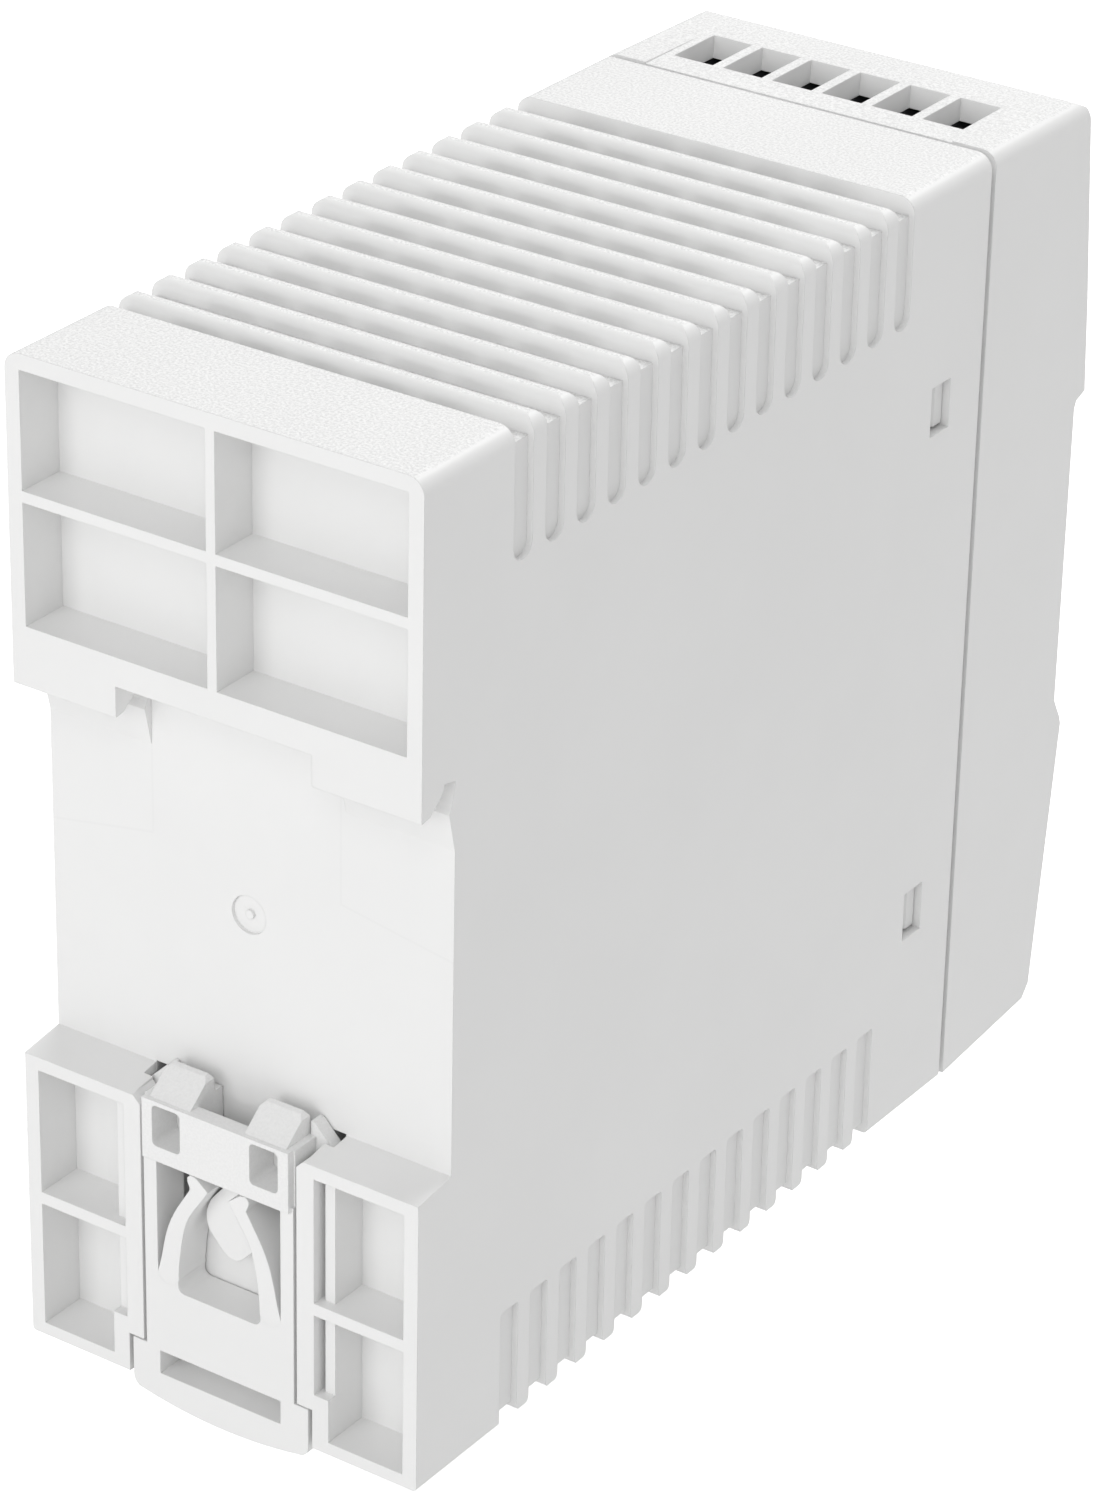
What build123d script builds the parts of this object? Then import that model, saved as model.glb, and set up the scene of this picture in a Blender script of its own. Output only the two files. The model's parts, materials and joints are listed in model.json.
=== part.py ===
from build123d import *
import os

# DIN-rail power supply. Millimetres. The origin is on the rail seat, at mid width, on the centre line
# of the 35 mm rail. +Y points out of the back towards the rail, -Y is the front, +Z is up, and seen
# from the front +X is to the right.

# ---------------------------------------------------------------- driving dimensions
WIDTH = 40.0
HEIGHT = 90.0
REAR = 4.4                      # how far the back stands proud of the rail seat
BASE = -45.6                    # underside of the case, below the rail's centre line
TOP = BASE + HEIGHT
SIDE = WIDTH / 2
SPLIT_DEPTH = 81.2              # length of the housing, from its back to the cap's joint line
JOINT_GAP = 0.7                 # visible groove between housing and cap
FULL_DEPTH = 100.1              # back to the foremost line of the cap
EDGE_RADIUS = 1.5               # long top edges

SIDE_WALL = 2.0
END_WALL = 2.6                  # top and bottom walls, which carry the vent bars
SEAT_WALL = 2.4
CAP_WALL = 1.8

VENT_COUNT = 14
VENT_PITCH = 4.21
VENT_WIDTH = 2.45
VENT_START = 14.05              # front wall of the rearmost groove, forward of the back
VENT_TOP_DEPTH = 1.6
VENT_BASE_DEPTH = 0.95
VENT_SIDE_DEPTH = 0.56
VENT_TOP_REACH = 78.65          # the top grooves run down the sides to this height
VENT_BASE_REACH = 11.0          # the bottom grooves run up the sides to this height
SLOT_LENGTH = 4.8
SLOT_PITCH = 6.0
SLOT_WIDTH = 1.9
SLOTS_PER_GROOVE = 5

LATCH_TRAVEL = 3.0
RAIL_LIP_HALF_GAP = 9.6         # the hook lips stop this far from the middle
CHANNEL_HALF = 7.95
CHANNEL_FLOOR = 0.65            # the raised floor under the sliding plate
LATCH_HALF = 7.65
LATCH_UNDERSIDE = 0.8
EAR_LOW = 8.2                   # underside of the latch's ears, above the underside of the case

OUTPUT_PITCH = 5.08
OUTPUT_POLES = 6
INPUT_PITCH = 7.62
INPUT_POLES = 3
OUTPUT_SCREW_Z = 31.5
INPUT_SCREW_Z = -32.7
BLOCK_FRONT = -90.8
BLOCK_BACK = -76.4
POLE_HALF = 1.95                # half width of a clamp's well
CLAMP_HALF = 1.85
WELL_FRONT = -88.5
WELL_BACK = -79.1

TRIMMER_X = -9.0
LAMP_X = 9.0
CONTROL_Z = 9.0

BOARD_THICK = 1.6
BOARD_FACE = -14.4              # component side of the main board
RUN_CLEARANCE = 0.05

os.makedirs("parts", exist_ok=True)


# ---------------------------------------------------------------- helpers
def up(height):
    """Row Z of a height above the underside."""
    return BASE + height


def back(depth):
    """Row Y of a distance forward of the case's back."""
    return REAR - depth


SPLIT = back(SPLIT_DEPTH)
CAP_REAR = SPLIT - JOINT_GAP


def block(x, y, z, mode=Mode.ADD):
    """A box between two limits along each axis."""
    with Locations(((x[0] + x[1]) / 2, (y[0] + y[1]) / 2, (z[0] + z[1]) / 2)):
        Box(x[1] - x[0], y[1] - y[0], z[1] - z[0], mode=mode)


def twin_block(x, y, z, mode=Mode.ADD):
    """The same box on both sides of the middle plane."""
    block(x, y, z, mode)
    block((-x[1], -x[0]), y, z, mode)


def rod_y(x, z, radius, y, mode=Mode.ADD):
    """A cylinder along Y between two limits."""
    with Locations(Location((x, (y[0] + y[1]) / 2, z), (90, 0, 0))):
        Cylinder(radius, y[1] - y[0], mode=mode)


def rod_x(y, z, radius, x, mode=Mode.ADD):
    """A cylinder along X between two limits."""
    with Locations(Location(((x[0] + x[1]) / 2, y, z), (0, 90, 0))):
        Cylinder(radius, x[1] - x[0], mode=mode)


def rod_z(x, y, radius, z, mode=Mode.ADD):
    """A cylinder along Z between two limits."""
    with Locations((x, y, (z[0] + z[1]) / 2)):
        Cylinder(radius, z[1] - z[0], mode=mode)


def save(builder, name):
    """Labels a finished piece and writes it as its own STEP file."""
    builder.part.label = name
    export_step(builder.part, f"parts/{name}.step")


# ---------------------------------------------------------------- housing: outside and rail recess
def shell():
    """The plain case with its cavity, open at the front."""
    with BuildSketch(Plane.XZ.offset(-REAR)) as profile:
        with Locations((0, (BASE + TOP) / 2)):
            Rectangle(WIDTH, HEIGHT)
    extrude(profile.sketch, amount=SPLIT_DEPTH)
    long_edges = edges().filter_by(Axis.Y)
    fillet(long_edges.group_by(Axis.Z)[-1], EDGE_RADIUS)
    fillet(edges().filter_by(Axis.Y).group_by(Axis.Z)[0], 0.4)
    block((SIDE_WALL - SIDE, SIDE - SIDE_WALL), (SPLIT - 1, -SEAT_WALL),
          (BASE + END_WALL, TOP - END_WALL), Mode.SUBTRACT)


def rail_recess():
    """The seat for the rail, with the hook lip above it and the crush wedge under the lip."""
    clear = REAR + 1
    with BuildSketch(Plane.YZ.offset(-SIDE - 1)) as profile:
        with BuildLine():
            Polyline(
                (clear, up(27.1)), (REAR, up(27.15)), (0, up(27.8)), (0, up(57.1)),
                (0.8, up(60.5)), (0.47, up(61.1)), (0.04, up(63.2)), (1.5, up(63.5)),
            )
            Spline((1.5, up(63.5)), (1.75, up(62.8)), (2.67, up(62.0)), (3.3, up(61.45)))
            Polyline((3.3, up(61.45)), (REAR, up(61.25)), (clear, up(61.25)), (clear, up(27.1)))
        make_face()
    extrude(profile.sketch, amount=WIDTH + 2, mode=Mode.SUBTRACT)
    block((-RAIL_LIP_HALF_GAP, RAIL_LIP_HALF_GAP), (0, clear), (up(50), up(64)), Mode.SUBTRACT)


def rear_pockets():
    """Four coring pockets above the rail, 2 x 2, with thin ribs between them."""
    pocket_floor = -0.2
    for low, high in ((66.6, 77.35), (78.35, 88.6)):
        twin_block((0.47, 18.55), (pocket_floor, REAR + 1), (up(low), up(high)), Mode.SUBTRACT)


def foot_pockets():
    """The coring of the two feet beside the latch channel."""
    recess = REAR - 0.95
    deep = -0.2
    outer = 18.6
    rib_inner = 11.15
    wall_inner = 10.15
    for low, high in ((1.2, 13.0), (14.15, 25.9)):
        twin_block((rib_inner, outer), (recess, REAR + 1), (up(low), up(high)), Mode.SUBTRACT)
        twin_block((rib_inner, outer), (deep, REAR), (up(low), up(high)), Mode.SUBTRACT)
    for low, high in ((5.3, 13.0), (14.15, 25.9)):
        twin_block((9.7, rib_inner + 0.1), (recess, REAR + 1), (up(low), up(high)), Mode.SUBTRACT)
        twin_block((9.7, wall_inner), (1.9, REAR), (up(low), up(high)), Mode.SUBTRACT)


def latch_channel():
    """The channel the latch slides in, its T slots, stop steps and the openings through its floor."""
    over = up(40)
    raised_end = up(18.8)
    slot_outer = 9.7
    block((-CHANNEL_HALF, CHANNEL_HALF), (CHANNEL_FLOOR, REAR + 1), (BASE - 1, over), Mode.SUBTRACT)
    block((-CHANNEL_HALF, CHANNEL_HALF), (0, CHANNEL_FLOOR + 1), (raised_end, over), Mode.SUBTRACT)
    stop = up(EAR_LOW - LATCH_TRAVEL - 0.2)
    twin_block((LATCH_HALF - 0.6, slot_outer), (0, 1.45), (stop, over), Mode.SUBTRACT)
    twin_block((CHANNEL_HALF - 0.1, 9.5), (0, REAR + 1), (BASE - 1, up(3.75)), Mode.SUBTRACT)
    through = (-SEAT_WALL - 1, CHANNEL_FLOOR + 1)
    twin_block((2.75, 6.9), through, (up(19.6), up(25.35)), Mode.SUBTRACT)
    twin_block((5.95, 6.9), through, (up(16.2), up(20)), Mode.SUBTRACT)
    twin_block((8.1, slot_outer - 0.05), through, (up(24.5), up(27.95)), Mode.SUBTRACT)
    with BuildSketch(Plane.XZ.offset(-1.45)) as corners:
        for side in (-1, 1):
            with BuildLine():
                Polyline((side * 7.5, up(26.0)), (side * 8.75, up(27.25)), (side * 8.75, up(28)),
                         (side * 7.5, up(28)), (side * 7.5, up(26.0)))
            make_face()
    extrude(corners.sketch, amount=-REAR, mode=Mode.SUBTRACT)


def latch_boss():
    """The teardrop boss on the channel floor that spreads the latch's arms."""
    with BuildSketch(Plane.XZ) as profile:
        with BuildLine():
            Polyline((2.27, up(15.4)), (0.96, up(13.95)), (0.45, up(13.6)), (-0.45, up(13.6)),
                     (-0.96, up(13.95)), (-2.27, up(15.4)))
            Spline((-2.27, up(15.4)), (-2.66, up(16.2)), (-2.7, up(17.2)), (-2.38, up(18.3)),
                   (-1.65, up(19.35)), (-0.85, up(20.3)))
            Line((-0.85, up(20.3)), (0.85, up(20.3)))
            Spline((0.85, up(20.3)), (1.65, up(19.35)), (2.38, up(18.3)), (2.7, up(17.2)),
                   (2.66, up(16.2)), (2.27, up(15.4)))
        make_face()
    extrude(profile.sketch, amount=-2.45)


def vent_y(index):
    """Row Y of the front wall of a vent groove."""
    return back(VENT_START) - index * VENT_PITCH


def end_vents(outer, depth, sign):
    """The grooves across the top or the bottom, which leave round-nosed bars between them."""
    bar = VENT_PITCH - VENT_WIDTH
    nose = bar / 2
    rear_limit = vent_y(0) + VENT_WIDTH
    front_limit = vent_y(VENT_COUNT - 1)
    floor = outer - sign * depth
    reach = outer + sign
    with BuildSketch(Plane.YZ.offset(-SIDE - 1)) as profile:
        with Locations(((rear_limit + front_limit) / 2, (floor + reach) / 2)):
            Rectangle(rear_limit - front_limit, abs(reach - floor))
        for index in range(VENT_COUNT - 1):
            middle = vent_y(index) - nose
            with Locations((middle, outer - sign * (nose + 1))):
                Rectangle(bar, 2, mode=Mode.SUBTRACT)
            with Locations((middle, outer - sign * nose)):
                Circle(nose, mode=Mode.SUBTRACT)
    extrude(profile.sketch, amount=WIDTH + 2, mode=Mode.SUBTRACT)


def side_vents(plane_x):
    """The shallow ends of the grooves on one side wall."""
    with BuildSketch(Plane.YZ.offset(plane_x)) as profile:
        for index in range(VENT_COUNT):
            middle = vent_y(index) + VENT_WIDTH / 2
            nose = VENT_WIDTH / 2
            with Locations((middle, (up(VENT_TOP_REACH) + nose + TOP + 1) / 2)):
                Rectangle(VENT_WIDTH, TOP + 1 - up(VENT_TOP_REACH) - nose)
            with Locations((middle, up(VENT_TOP_REACH) + nose)):
                Circle(nose)
            with Locations((middle, (BASE - 1 + up(VENT_BASE_REACH)) / 2)):
                RectangleRounded(VENT_WIDTH, up(VENT_BASE_REACH) - BASE + 1, 0.3)
    extrude(profile.sketch, amount=1 + VENT_SIDE_DEPTH, mode=Mode.SUBTRACT)


def vent_slots():
    """The air slots through the floors of the top and bottom grooves."""
    middle = (vent_y(0) + vent_y(VENT_COUNT - 1) + VENT_WIDTH) / 2
    for start in (BASE - 1, TOP - END_WALL - 1):
        with BuildSketch(Plane.XY.offset(start)) as profile:
            with Locations((0, middle)):
                with GridLocations(SLOT_PITCH, VENT_PITCH, SLOTS_PER_GROOVE, VENT_COUNT):
                    Rectangle(SLOT_LENGTH, SLOT_WIDTH)
        extrude(profile.sketch, amount=END_WALL + 2, mode=Mode.SUBTRACT)


def board_guides():
    """Ribs inside the top and bottom walls that hold the main board's long edges."""
    outer_face = BOARD_FACE - BOARD_THICK
    guide_y = (-70, -SEAT_WALL)
    for z in ((BASE + END_WALL, up(3.9)), (TOP - 3.9, TOP - END_WALL)):
        block((outer_face - 1.3, outer_face - 0.1), guide_y, z)
        block((BOARD_FACE + 0.1, BOARD_FACE + 1.3), guide_y, z)


WINDOW_DEPTH = (73.2, 76.2)
WINDOW_HEIGHTS = ((17.85, 22.6), (66.85, 71.4))

with BuildPart() as housing:
    shell()
    rail_recess()
    rear_pockets()
    foot_pockets()
    latch_channel()
    latch_boss()
    end_vents(TOP, VENT_TOP_DEPTH, 1)
    end_vents(BASE, VENT_BASE_DEPTH, -1)
    side_vents(SIDE - VENT_SIDE_DEPTH)
    side_vents(-SIDE - 1)
    vent_slots()
    board_guides()
    for low, high in WINDOW_HEIGHTS:
        twin_block((SIDE - SIDE_WALL - 1, SIDE + 1), (back(WINDOW_DEPTH[1]), back(WINDOW_DEPTH[0])),
                   (up(low), up(high)), Mode.SUBTRACT)
    rod_y(0, up(44.8), 1.7, (-0.3, 1), Mode.SUBTRACT)
    rod_y(0, up(44.8), 0.4, (-0.4, -0.05))
save(housing, "housing")


# ---------------------------------------------------------------- front cap
def cap_outline():
    """The cap's side profile: sloping terminal faces above and below a set-back middle."""
    Polyline(
        (CAP_REAR, up(0.1)), (back(96.0), up(1.4)), (back(97.0), up(2.6)), (back(99.8), up(28.7)),
        (back(99.6), up(29.4)), (back(98.4), up(31.6)), (back(98.4), up(60.6)),
        (back(98.7), up(61.3)), (back(FULL_DEPTH), up(61.8)), (back(99.5), up(70.7)),
        (back(97.9), up(88.0)), (back(97.6), up(89.2)), (back(96.6), up(89.75)), (CAP_REAR, TOP),
        (CAP_REAR, up(0.1)),
    )


def pole_x(pitch, count):
    """The middle of each pole, left to right."""
    return [(index - (count - 1) / 2) * pitch for index in range(count)]


def wire_funnel(x, outer, inner, mouth_width):
    """A slightly tapered wire entry through the cap, over the well of its clamp."""
    with BuildSketch(Plane.XY.offset(outer)) as mouth:
        with Locations((x, back(88.3))):
            Rectangle(mouth_width, 6.45)
    with BuildSketch(Plane.XY.offset(inner)) as throat:
        with Locations((x, back(88.2))):
            Rectangle(mouth_width - 0.5, 5.7)
    loft([mouth.sketch, throat.sketch], mode=Mode.SUBTRACT)


def snap_tongue(side, low, high):
    """A tongue behind the cap whose barb catches the front edge of a side window."""
    inner = SIDE - SIDE_WALL - 0.15 - 1.2
    root = SIDE - SIDE_WALL - 0.15
    catch = back(WINDOW_DEPTH[1]) + 0.1
    with BuildSketch(Plane.XY.offset(up(low) + 0.3)) as profile:
        with BuildLine():
            Polyline((side * inner, CAP_REAR), (side * inner, catch + 5), (side * (root - 0.4), catch + 5),
                     (side * root, catch + 4.4), (side * root, catch + 2.6),
                     (side * (root + 1.45), catch + 1.2), (side * (root + 1.45), catch),
                     (side * root, catch), (side * root, CAP_REAR), (side * inner, CAP_REAR))
        make_face()
    extrude(profile.sketch, amount=high - low - 0.6)


TOP_ENTRY_DEPTH = 2.1
BASE_ENTRY_DEPTH = 3.4
RECESS = 0.15                   # how far the wire entries' panel lies below the top
with BuildPart() as front_cap:
    with BuildSketch(Plane.YZ) as cap_side:
        with BuildLine():
            cap_outline()
        make_face()
    extrude(amount=SIDE, both=True)
    fillet(edges().filter_by(Axis.Y, tolerance=5).group_by(Axis.Z)[-1], EDGE_RADIUS)
    with BuildSketch(Plane.YZ) as cap_room:
        with BuildLine():
            cap_outline()
        make_face()
        offset(amount=-CAP_WALL)
        with Locations((CAP_REAR - 1, up(45))):
            Rectangle(4, HEIGHT - 2 * CAP_WALL - 1.0)
    extrude(amount=SIDE - CAP_WALL, both=True, mode=Mode.SUBTRACT)
    # rim that slides inside the housing
    rim_x = SIDE - SIDE_WALL - 0.15
    rim_low = BASE + END_WALL + 0.15
    rim_high = TOP - END_WALL - 0.15
    block((1 - SIDE, SIDE - 1), (CAP_REAR - 1.5, CAP_REAR), (BASE + 1, TOP - 1))
    block((-rim_x, rim_x), (CAP_REAR - 1.5, CAP_REAR + 3.8), (rim_low, rim_high))
    block((1.2 - rim_x, rim_x - 1.2), (CAP_REAR - 3, CAP_REAR + 5), (rim_low + 1.2, rim_high - 1.2),
          Mode.SUBTRACT)
    for low, high in WINDOW_HEIGHTS:
        snap_tongue(1, low, high)
        snap_tongue(-1, low, high)
    # thicker wall round the wire entries
    block((-16.1, 16.1), (-88.4, -79.6), (TOP - TOP_ENTRY_DEPTH, TOP - 1))
    block((-12.6, 12.6), (-88.4, -79.6), (up(1.4), up(BASE_ENTRY_DEPTH)))
    for x in pole_x(OUTPUT_PITCH, OUTPUT_POLES):
        wire_funnel(x, TOP + 0.01, TOP - TOP_ENTRY_DEPTH - 0.01, OUTPUT_PITCH - 1)
        rod_y(x, OUTPUT_SCREW_Z, 2.1, (-97, -91), Mode.SUBTRACT)
    for x in pole_x(INPUT_PITCH, INPUT_POLES):
        wire_funnel(x, BASE + 0.1, up(BASE_ENTRY_DEPTH) + 0.01, INPUT_PITCH - 2.2)
        rod_y(x, INPUT_SCREW_Z, 2.1, (-97, -91), Mode.SUBTRACT)
    block((-15.6, 15.6), (back(91.7), CAP_REAR + 1), (TOP - RECESS, TOP + 1), Mode.SUBTRACT)
    rod_y(TRIMMER_X, CONTROL_Z, 2.0, (-97, -91), Mode.SUBTRACT)
    rod_y(LAMP_X, CONTROL_Z, 1.5, (-97, -91), Mode.SUBTRACT)
save(front_cap, "front_cap")


# ---------------------------------------------------------------- foot latch
ARM_ROOT_X = 5.24
ARM_ROOT_Z = up(11.3)
ARM_ROOT_RADIUS = 1.04
CROSSBAR_REAR = REAR + 0.4
CROSSBAR_HALF = 7.45
CROSSBAR_LOW = up(22.0)
CROSSBAR_HIGH = up(27.65)
TOOTH_INNER = 2.75
TOOTH_OUTER = 6.95
TOOTH_TOP = up(29.75)


def latch_plate():
    """The flat slider with its rounded foot, the arm window and the lower aperture."""
    with BuildSketch(Plane.XZ.offset(-REAR)) as profile:
        with Locations((0, up(12.9))):
            Rectangle(2 * LATCH_HALF, 19.0)
        with BuildLine():
            Line((-9.1, up(3.6)), (-9.1, up(-0.2)))
            ThreePointArc((-9.1, up(-0.2)), (-8.8, up(-0.9)), (-8.1, up(-1.2)))
            ThreePointArc((-8.1, up(-1.2)), (0, up(-2.0)), (8.1, up(-1.2)))
            ThreePointArc((8.1, up(-1.2)), (8.8, up(-0.9)), (9.1, up(-0.2)))
            Polyline((9.1, up(-0.2)), (9.1, up(3.6)), (-9.1, up(3.6)))
        make_face()
        with Locations((0, up(16.95))):
            Rectangle(12.66, 11.3, mode=Mode.SUBTRACT)
        with Locations((0, up(11.6))):
            RectangleRounded(8.5, 3.6, 0.7, mode=Mode.SUBTRACT)
        with Locations((ARM_ROOT_X, ARM_ROOT_Z), (-ARM_ROOT_X, ARM_ROOT_Z)):
            Circle(ARM_ROOT_RADIUS + RUN_CLEARANCE, mode=Mode.SUBTRACT)
    extrude(profile.sketch, amount=REAR - LATCH_UNDERSIDE)


def rail_teeth():
    """One ramped tooth that snaps over the rail's lower edge; its ledge carries the edge."""
    with BuildSketch(Plane.YZ.offset(TOOTH_INNER)) as profile:
        with BuildLine():
            Polyline((CROSSBAR_REAR, up(25)), (CROSSBAR_REAR, up(27.3)), (1.9, TOOTH_TOP - 0.1),
                     (1.45, TOOTH_TOP), (1.2, TOOTH_TOP - 0.4), (1.1, up(28.1)), (0.1, up(28.05)),
                     (0.1, up(25)), (CROSSBAR_REAR, up(25)))
        make_face()
    extrude(profile.sketch, amount=TOOTH_OUTER - TOOTH_INNER)
    with BuildSketch(Plane.XZ) as bevels:
        for x, inward in ((TOOTH_INNER, 1), (TOOTH_OUTER, -1)):
            with BuildLine():
                Polyline((x, TOOTH_TOP - 0.45), (x + inward * 0.45, TOOTH_TOP),
                         (x + inward * 0.45, TOOTH_TOP + 1), (x - inward, TOOTH_TOP + 1),
                         (x - inward, TOOTH_TOP - 0.45), (x, TOOTH_TOP - 0.45))
            make_face()
    extrude(bevels.sketch, amount=-REAR, mode=Mode.SUBTRACT)


def latch_ear():
    """The flange that runs in the housing's T slot, with its bevelled top corner."""
    root = LATCH_HALF - 0.5
    with BuildSketch(Plane.XZ.offset(-1.35)) as profile:
        with BuildLine():
            Polyline((root, up(EAR_LOW)), (9.55, up(EAR_LOW)), (9.55, up(26.9)),
                     (7.5, up(28.95)), (root, up(28.95)), (root, up(EAR_LOW)))
        make_face()
    extrude(profile.sketch, amount=1.25)


with BuildPart() as din_latch:
    latch_plate()
    rail_teeth()
    latch_ear()
    mirror(about=Plane.YZ)
    block((-LATCH_HALF, LATCH_HALF), (3.3, REAR - 0.3), (CROSSBAR_LOW, CROSSBAR_HIGH))
    block((-CROSSBAR_HALF, CROSSBAR_HALF), (3.3, CROSSBAR_REAR), (CROSSBAR_LOW, CROSSBAR_HIGH))
    twin_block((TOOTH_INNER, LATCH_HALF), (LATCH_UNDERSIDE, 3.4), (CROSSBAR_LOW, CROSSBAR_HIGH))
    with BuildSketch(Plane.XZ.offset(-CROSSBAR_REAR - 1)) as sockets:
        with Locations((4.97, up(25.35)), (-4.97, up(25.35))):
            RectangleRounded(2.85, 3.8, 0.45)
    extrude(sockets.sketch, amount=CROSSBAR_REAR + 1 - 1.6, mode=Mode.SUBTRACT)
    block((-6.25, 6.25), (1.2, REAR + 1), (up(1.05), up(3.3)), Mode.SUBTRACT)
save(din_latch, "din_latch")


def latch_arm(side):
    """One curved arm: round root, slim bow and a hooked tip that rests beside the boss."""
    def at(x, height):
        return (side * x, up(height))

    root_height = ARM_ROOT_Z - BASE
    inner_x = ARM_ROOT_X - ARM_ROOT_RADIUS
    outer_x = ARM_ROOT_X + ARM_ROOT_RADIUS
    with BuildSketch(Plane.XZ.offset(-REAR)) as profile:
        with BuildLine():
            ThreePointArc(at(inner_x, root_height), at(ARM_ROOT_X, root_height - ARM_ROOT_RADIUS),
                          at(outer_x, root_height))
            Spline(at(outer_x, root_height), at(5.85, 13.1), at(5.4, 15.2), at(4.5, 17.5), at(3.45, 19.3),
                   at(2.85, 20.3))
            Polyline(at(2.85, 20.3), at(3.13, 20.95), at(3.13, 21.35), at(2.8, 21.65), at(2.25, 21.55),
                     at(1.05, 20.6))
            Spline(at(1.05, 20.6), at(2.15, 18.9), at(3.2, 17.1), at(3.7, 15.3), at(4.0, 13.5),
                   at(inner_x, root_height))
        make_face()
    extrude(profile.sketch, amount=REAR - LATCH_UNDERSIDE)


for side, name in ((-1, "latch_arm_left"), (1, "latch_arm_right")):
    with BuildPart() as arm:
        latch_arm(side)
    save(arm, name)


# ---------------------------------------------------------------- terminals
def terminal_body(xs, screw_z, entry, half_width, reach):
    """An insulating block: a well per clamp, its collar reaching the wire entry, with a screw hole
    in front."""
    collar_back = -79.3
    collar_wall = 0.8
    low, high = sorted((screw_z - entry * 7.5, screw_z + entry * 7.3))
    well_low, well_high = sorted((screw_z - entry * 4.5, screw_z + entry * 7.4))
    collar_low, collar_high = sorted((screw_z + entry * 7.2, screw_z + entry * reach))
    mouth_low, mouth_high = sorted((screw_z + entry * 7.1, screw_z + entry * (reach + 1)))
    block((-half_width, half_width), (BLOCK_FRONT, BLOCK_BACK), (low, high))
    block((-half_width, half_width), (BLOCK_FRONT, collar_back), (collar_low, collar_high))
    for x in xs:
        block((x - POLE_HALF, x + POLE_HALF), (WELL_FRONT, WELL_BACK), (well_low, well_high),
              Mode.SUBTRACT)
        block((x - POLE_HALF, x + POLE_HALF), (WELL_FRONT, collar_back - collar_wall),
              (mouth_low, mouth_high), Mode.SUBTRACT)
        rod_y(x, screw_z, 1.95, (BLOCK_FRONT - 1, BLOCK_FRONT + 1.7), Mode.SUBTRACT)
        rod_y(x, screw_z, 1.35, (BLOCK_FRONT, WELL_FRONT + 0.5), Mode.SUBTRACT)
        bar_low, bar_high = sorted((screw_z - entry * 8, screw_z))
        block((x - 1.3, x + 1.3), (-82.95, -82.05), (bar_low, bar_high), Mode.SUBTRACT)


def contact_bars(xs, screw_z, entry):
    """The fixed bars the wires are pressed against, each with a foot bent back to the board."""
    bar_low, bar_high = sorted((screw_z - entry * 8.3, screw_z + entry * 2.6))
    foot_low, foot_high = sorted((screw_z - entry * 8.3, screw_z - entry * 7.5))
    for x in xs:
        block((x - 1.25, x + 1.25), (-82.9, -82.1), (bar_low, bar_high))
        block((x - 1.25, x + 1.25), (-82.9, BLOCK_BACK), (foot_low, foot_high))


def clamp_cage(x, screw_z):
    """One rising clamp: a square loop around the bar, its front wall tapped for the screw."""
    with BuildSketch(Plane.XY.offset(screw_z - 3)) as profile:
        with Locations((x, -83.05)):
            Rectangle(2 * CLAMP_HALF, 7.3)
        with Locations((x, -83.0)):
            Rectangle(2.7, 5.4, mode=Mode.SUBTRACT)
    extrude(profile.sketch, amount=6)
    rod_y(x, screw_z, 1.2 + RUN_CLEARANCE, (-88, -85), Mode.SUBTRACT)
    fillet(edges().filter_by(Axis.Z).group_by(Axis.Y)[0], 0.4)
    fillet(edges().filter_by(Axis.Z).group_by(Axis.Y)[-1], 0.4)


def clamp_screw(x, screw_z):
    """One clamp screw with a slotted cheese head and a rounded end against the contact bar."""
    rod_y(x, screw_z, 1.85, (-90.6, -89.2))
    chamfer(edges().filter_by(GeomType.CIRCLE).group_by(Axis.Y)[0], 0.2)
    rod_y(x, screw_z, 1.2, (-89.3, -83.0))
    fillet(edges().filter_by(GeomType.CIRCLE).group_by(Axis.Y)[-1], 0.4)
    block((x - 2, x + 2), (-91, -89.85), (screw_z - 0.3, screw_z + 0.3), Mode.SUBTRACT)


def terminal_set(name, xs, screw_z, entry, half_width, reach):
    """Writes one terminal strip: its body, its bars, and a clamp and a screw for each pole."""
    with BuildPart() as strip_body:
        terminal_body(xs, screw_z, entry, half_width, reach)
    save(strip_body, f"{name}_block")
    with BuildPart() as bars:
        contact_bars(xs, screw_z, entry)
    save(bars, f"{name}_contacts")
    for number, x in enumerate(xs, 1):
        with BuildPart() as cage:
            clamp_cage(x, screw_z)
        save(cage, f"{name}_cage_{number}")
        with BuildPart() as screw:
            clamp_screw(x, screw_z)
        save(screw, f"{name}_screw_{number}")


terminal_set("output", pole_x(OUTPUT_PITCH, OUTPUT_POLES), OUTPUT_SCREW_Z, 1, 15.7, 10.6)
terminal_set("input", pole_x(INPUT_PITCH, INPUT_POLES), INPUT_SCREW_Z, -1, 11.4, 9.3)


# ---------------------------------------------------------------- front board and controls
FRONT_BOARD_BACK = BLOCK_BACK + BOARD_THICK
with BuildPart() as front_board:
    block((-16.4, 16.4), (BLOCK_BACK, FRONT_BOARD_BACK), (-41.3, 40.1))
    fillet(edges().filter_by(Axis.Y), 1.0)
save(front_board, "front_board")

with BuildPart() as trimmer_body:
    block((TRIMMER_X - 3.4, TRIMMER_X + 3.4), (-81.4, BLOCK_BACK), (CONTROL_Z - 3.4, CONTROL_Z + 3.4))
    chamfer(edges().filter_by(Axis.Y), 0.5)
    rod_y(TRIMMER_X, CONTROL_Z, 2.5, (-82, -80), Mode.SUBTRACT)
save(trimmer_body, "trimmer_body")

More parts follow.
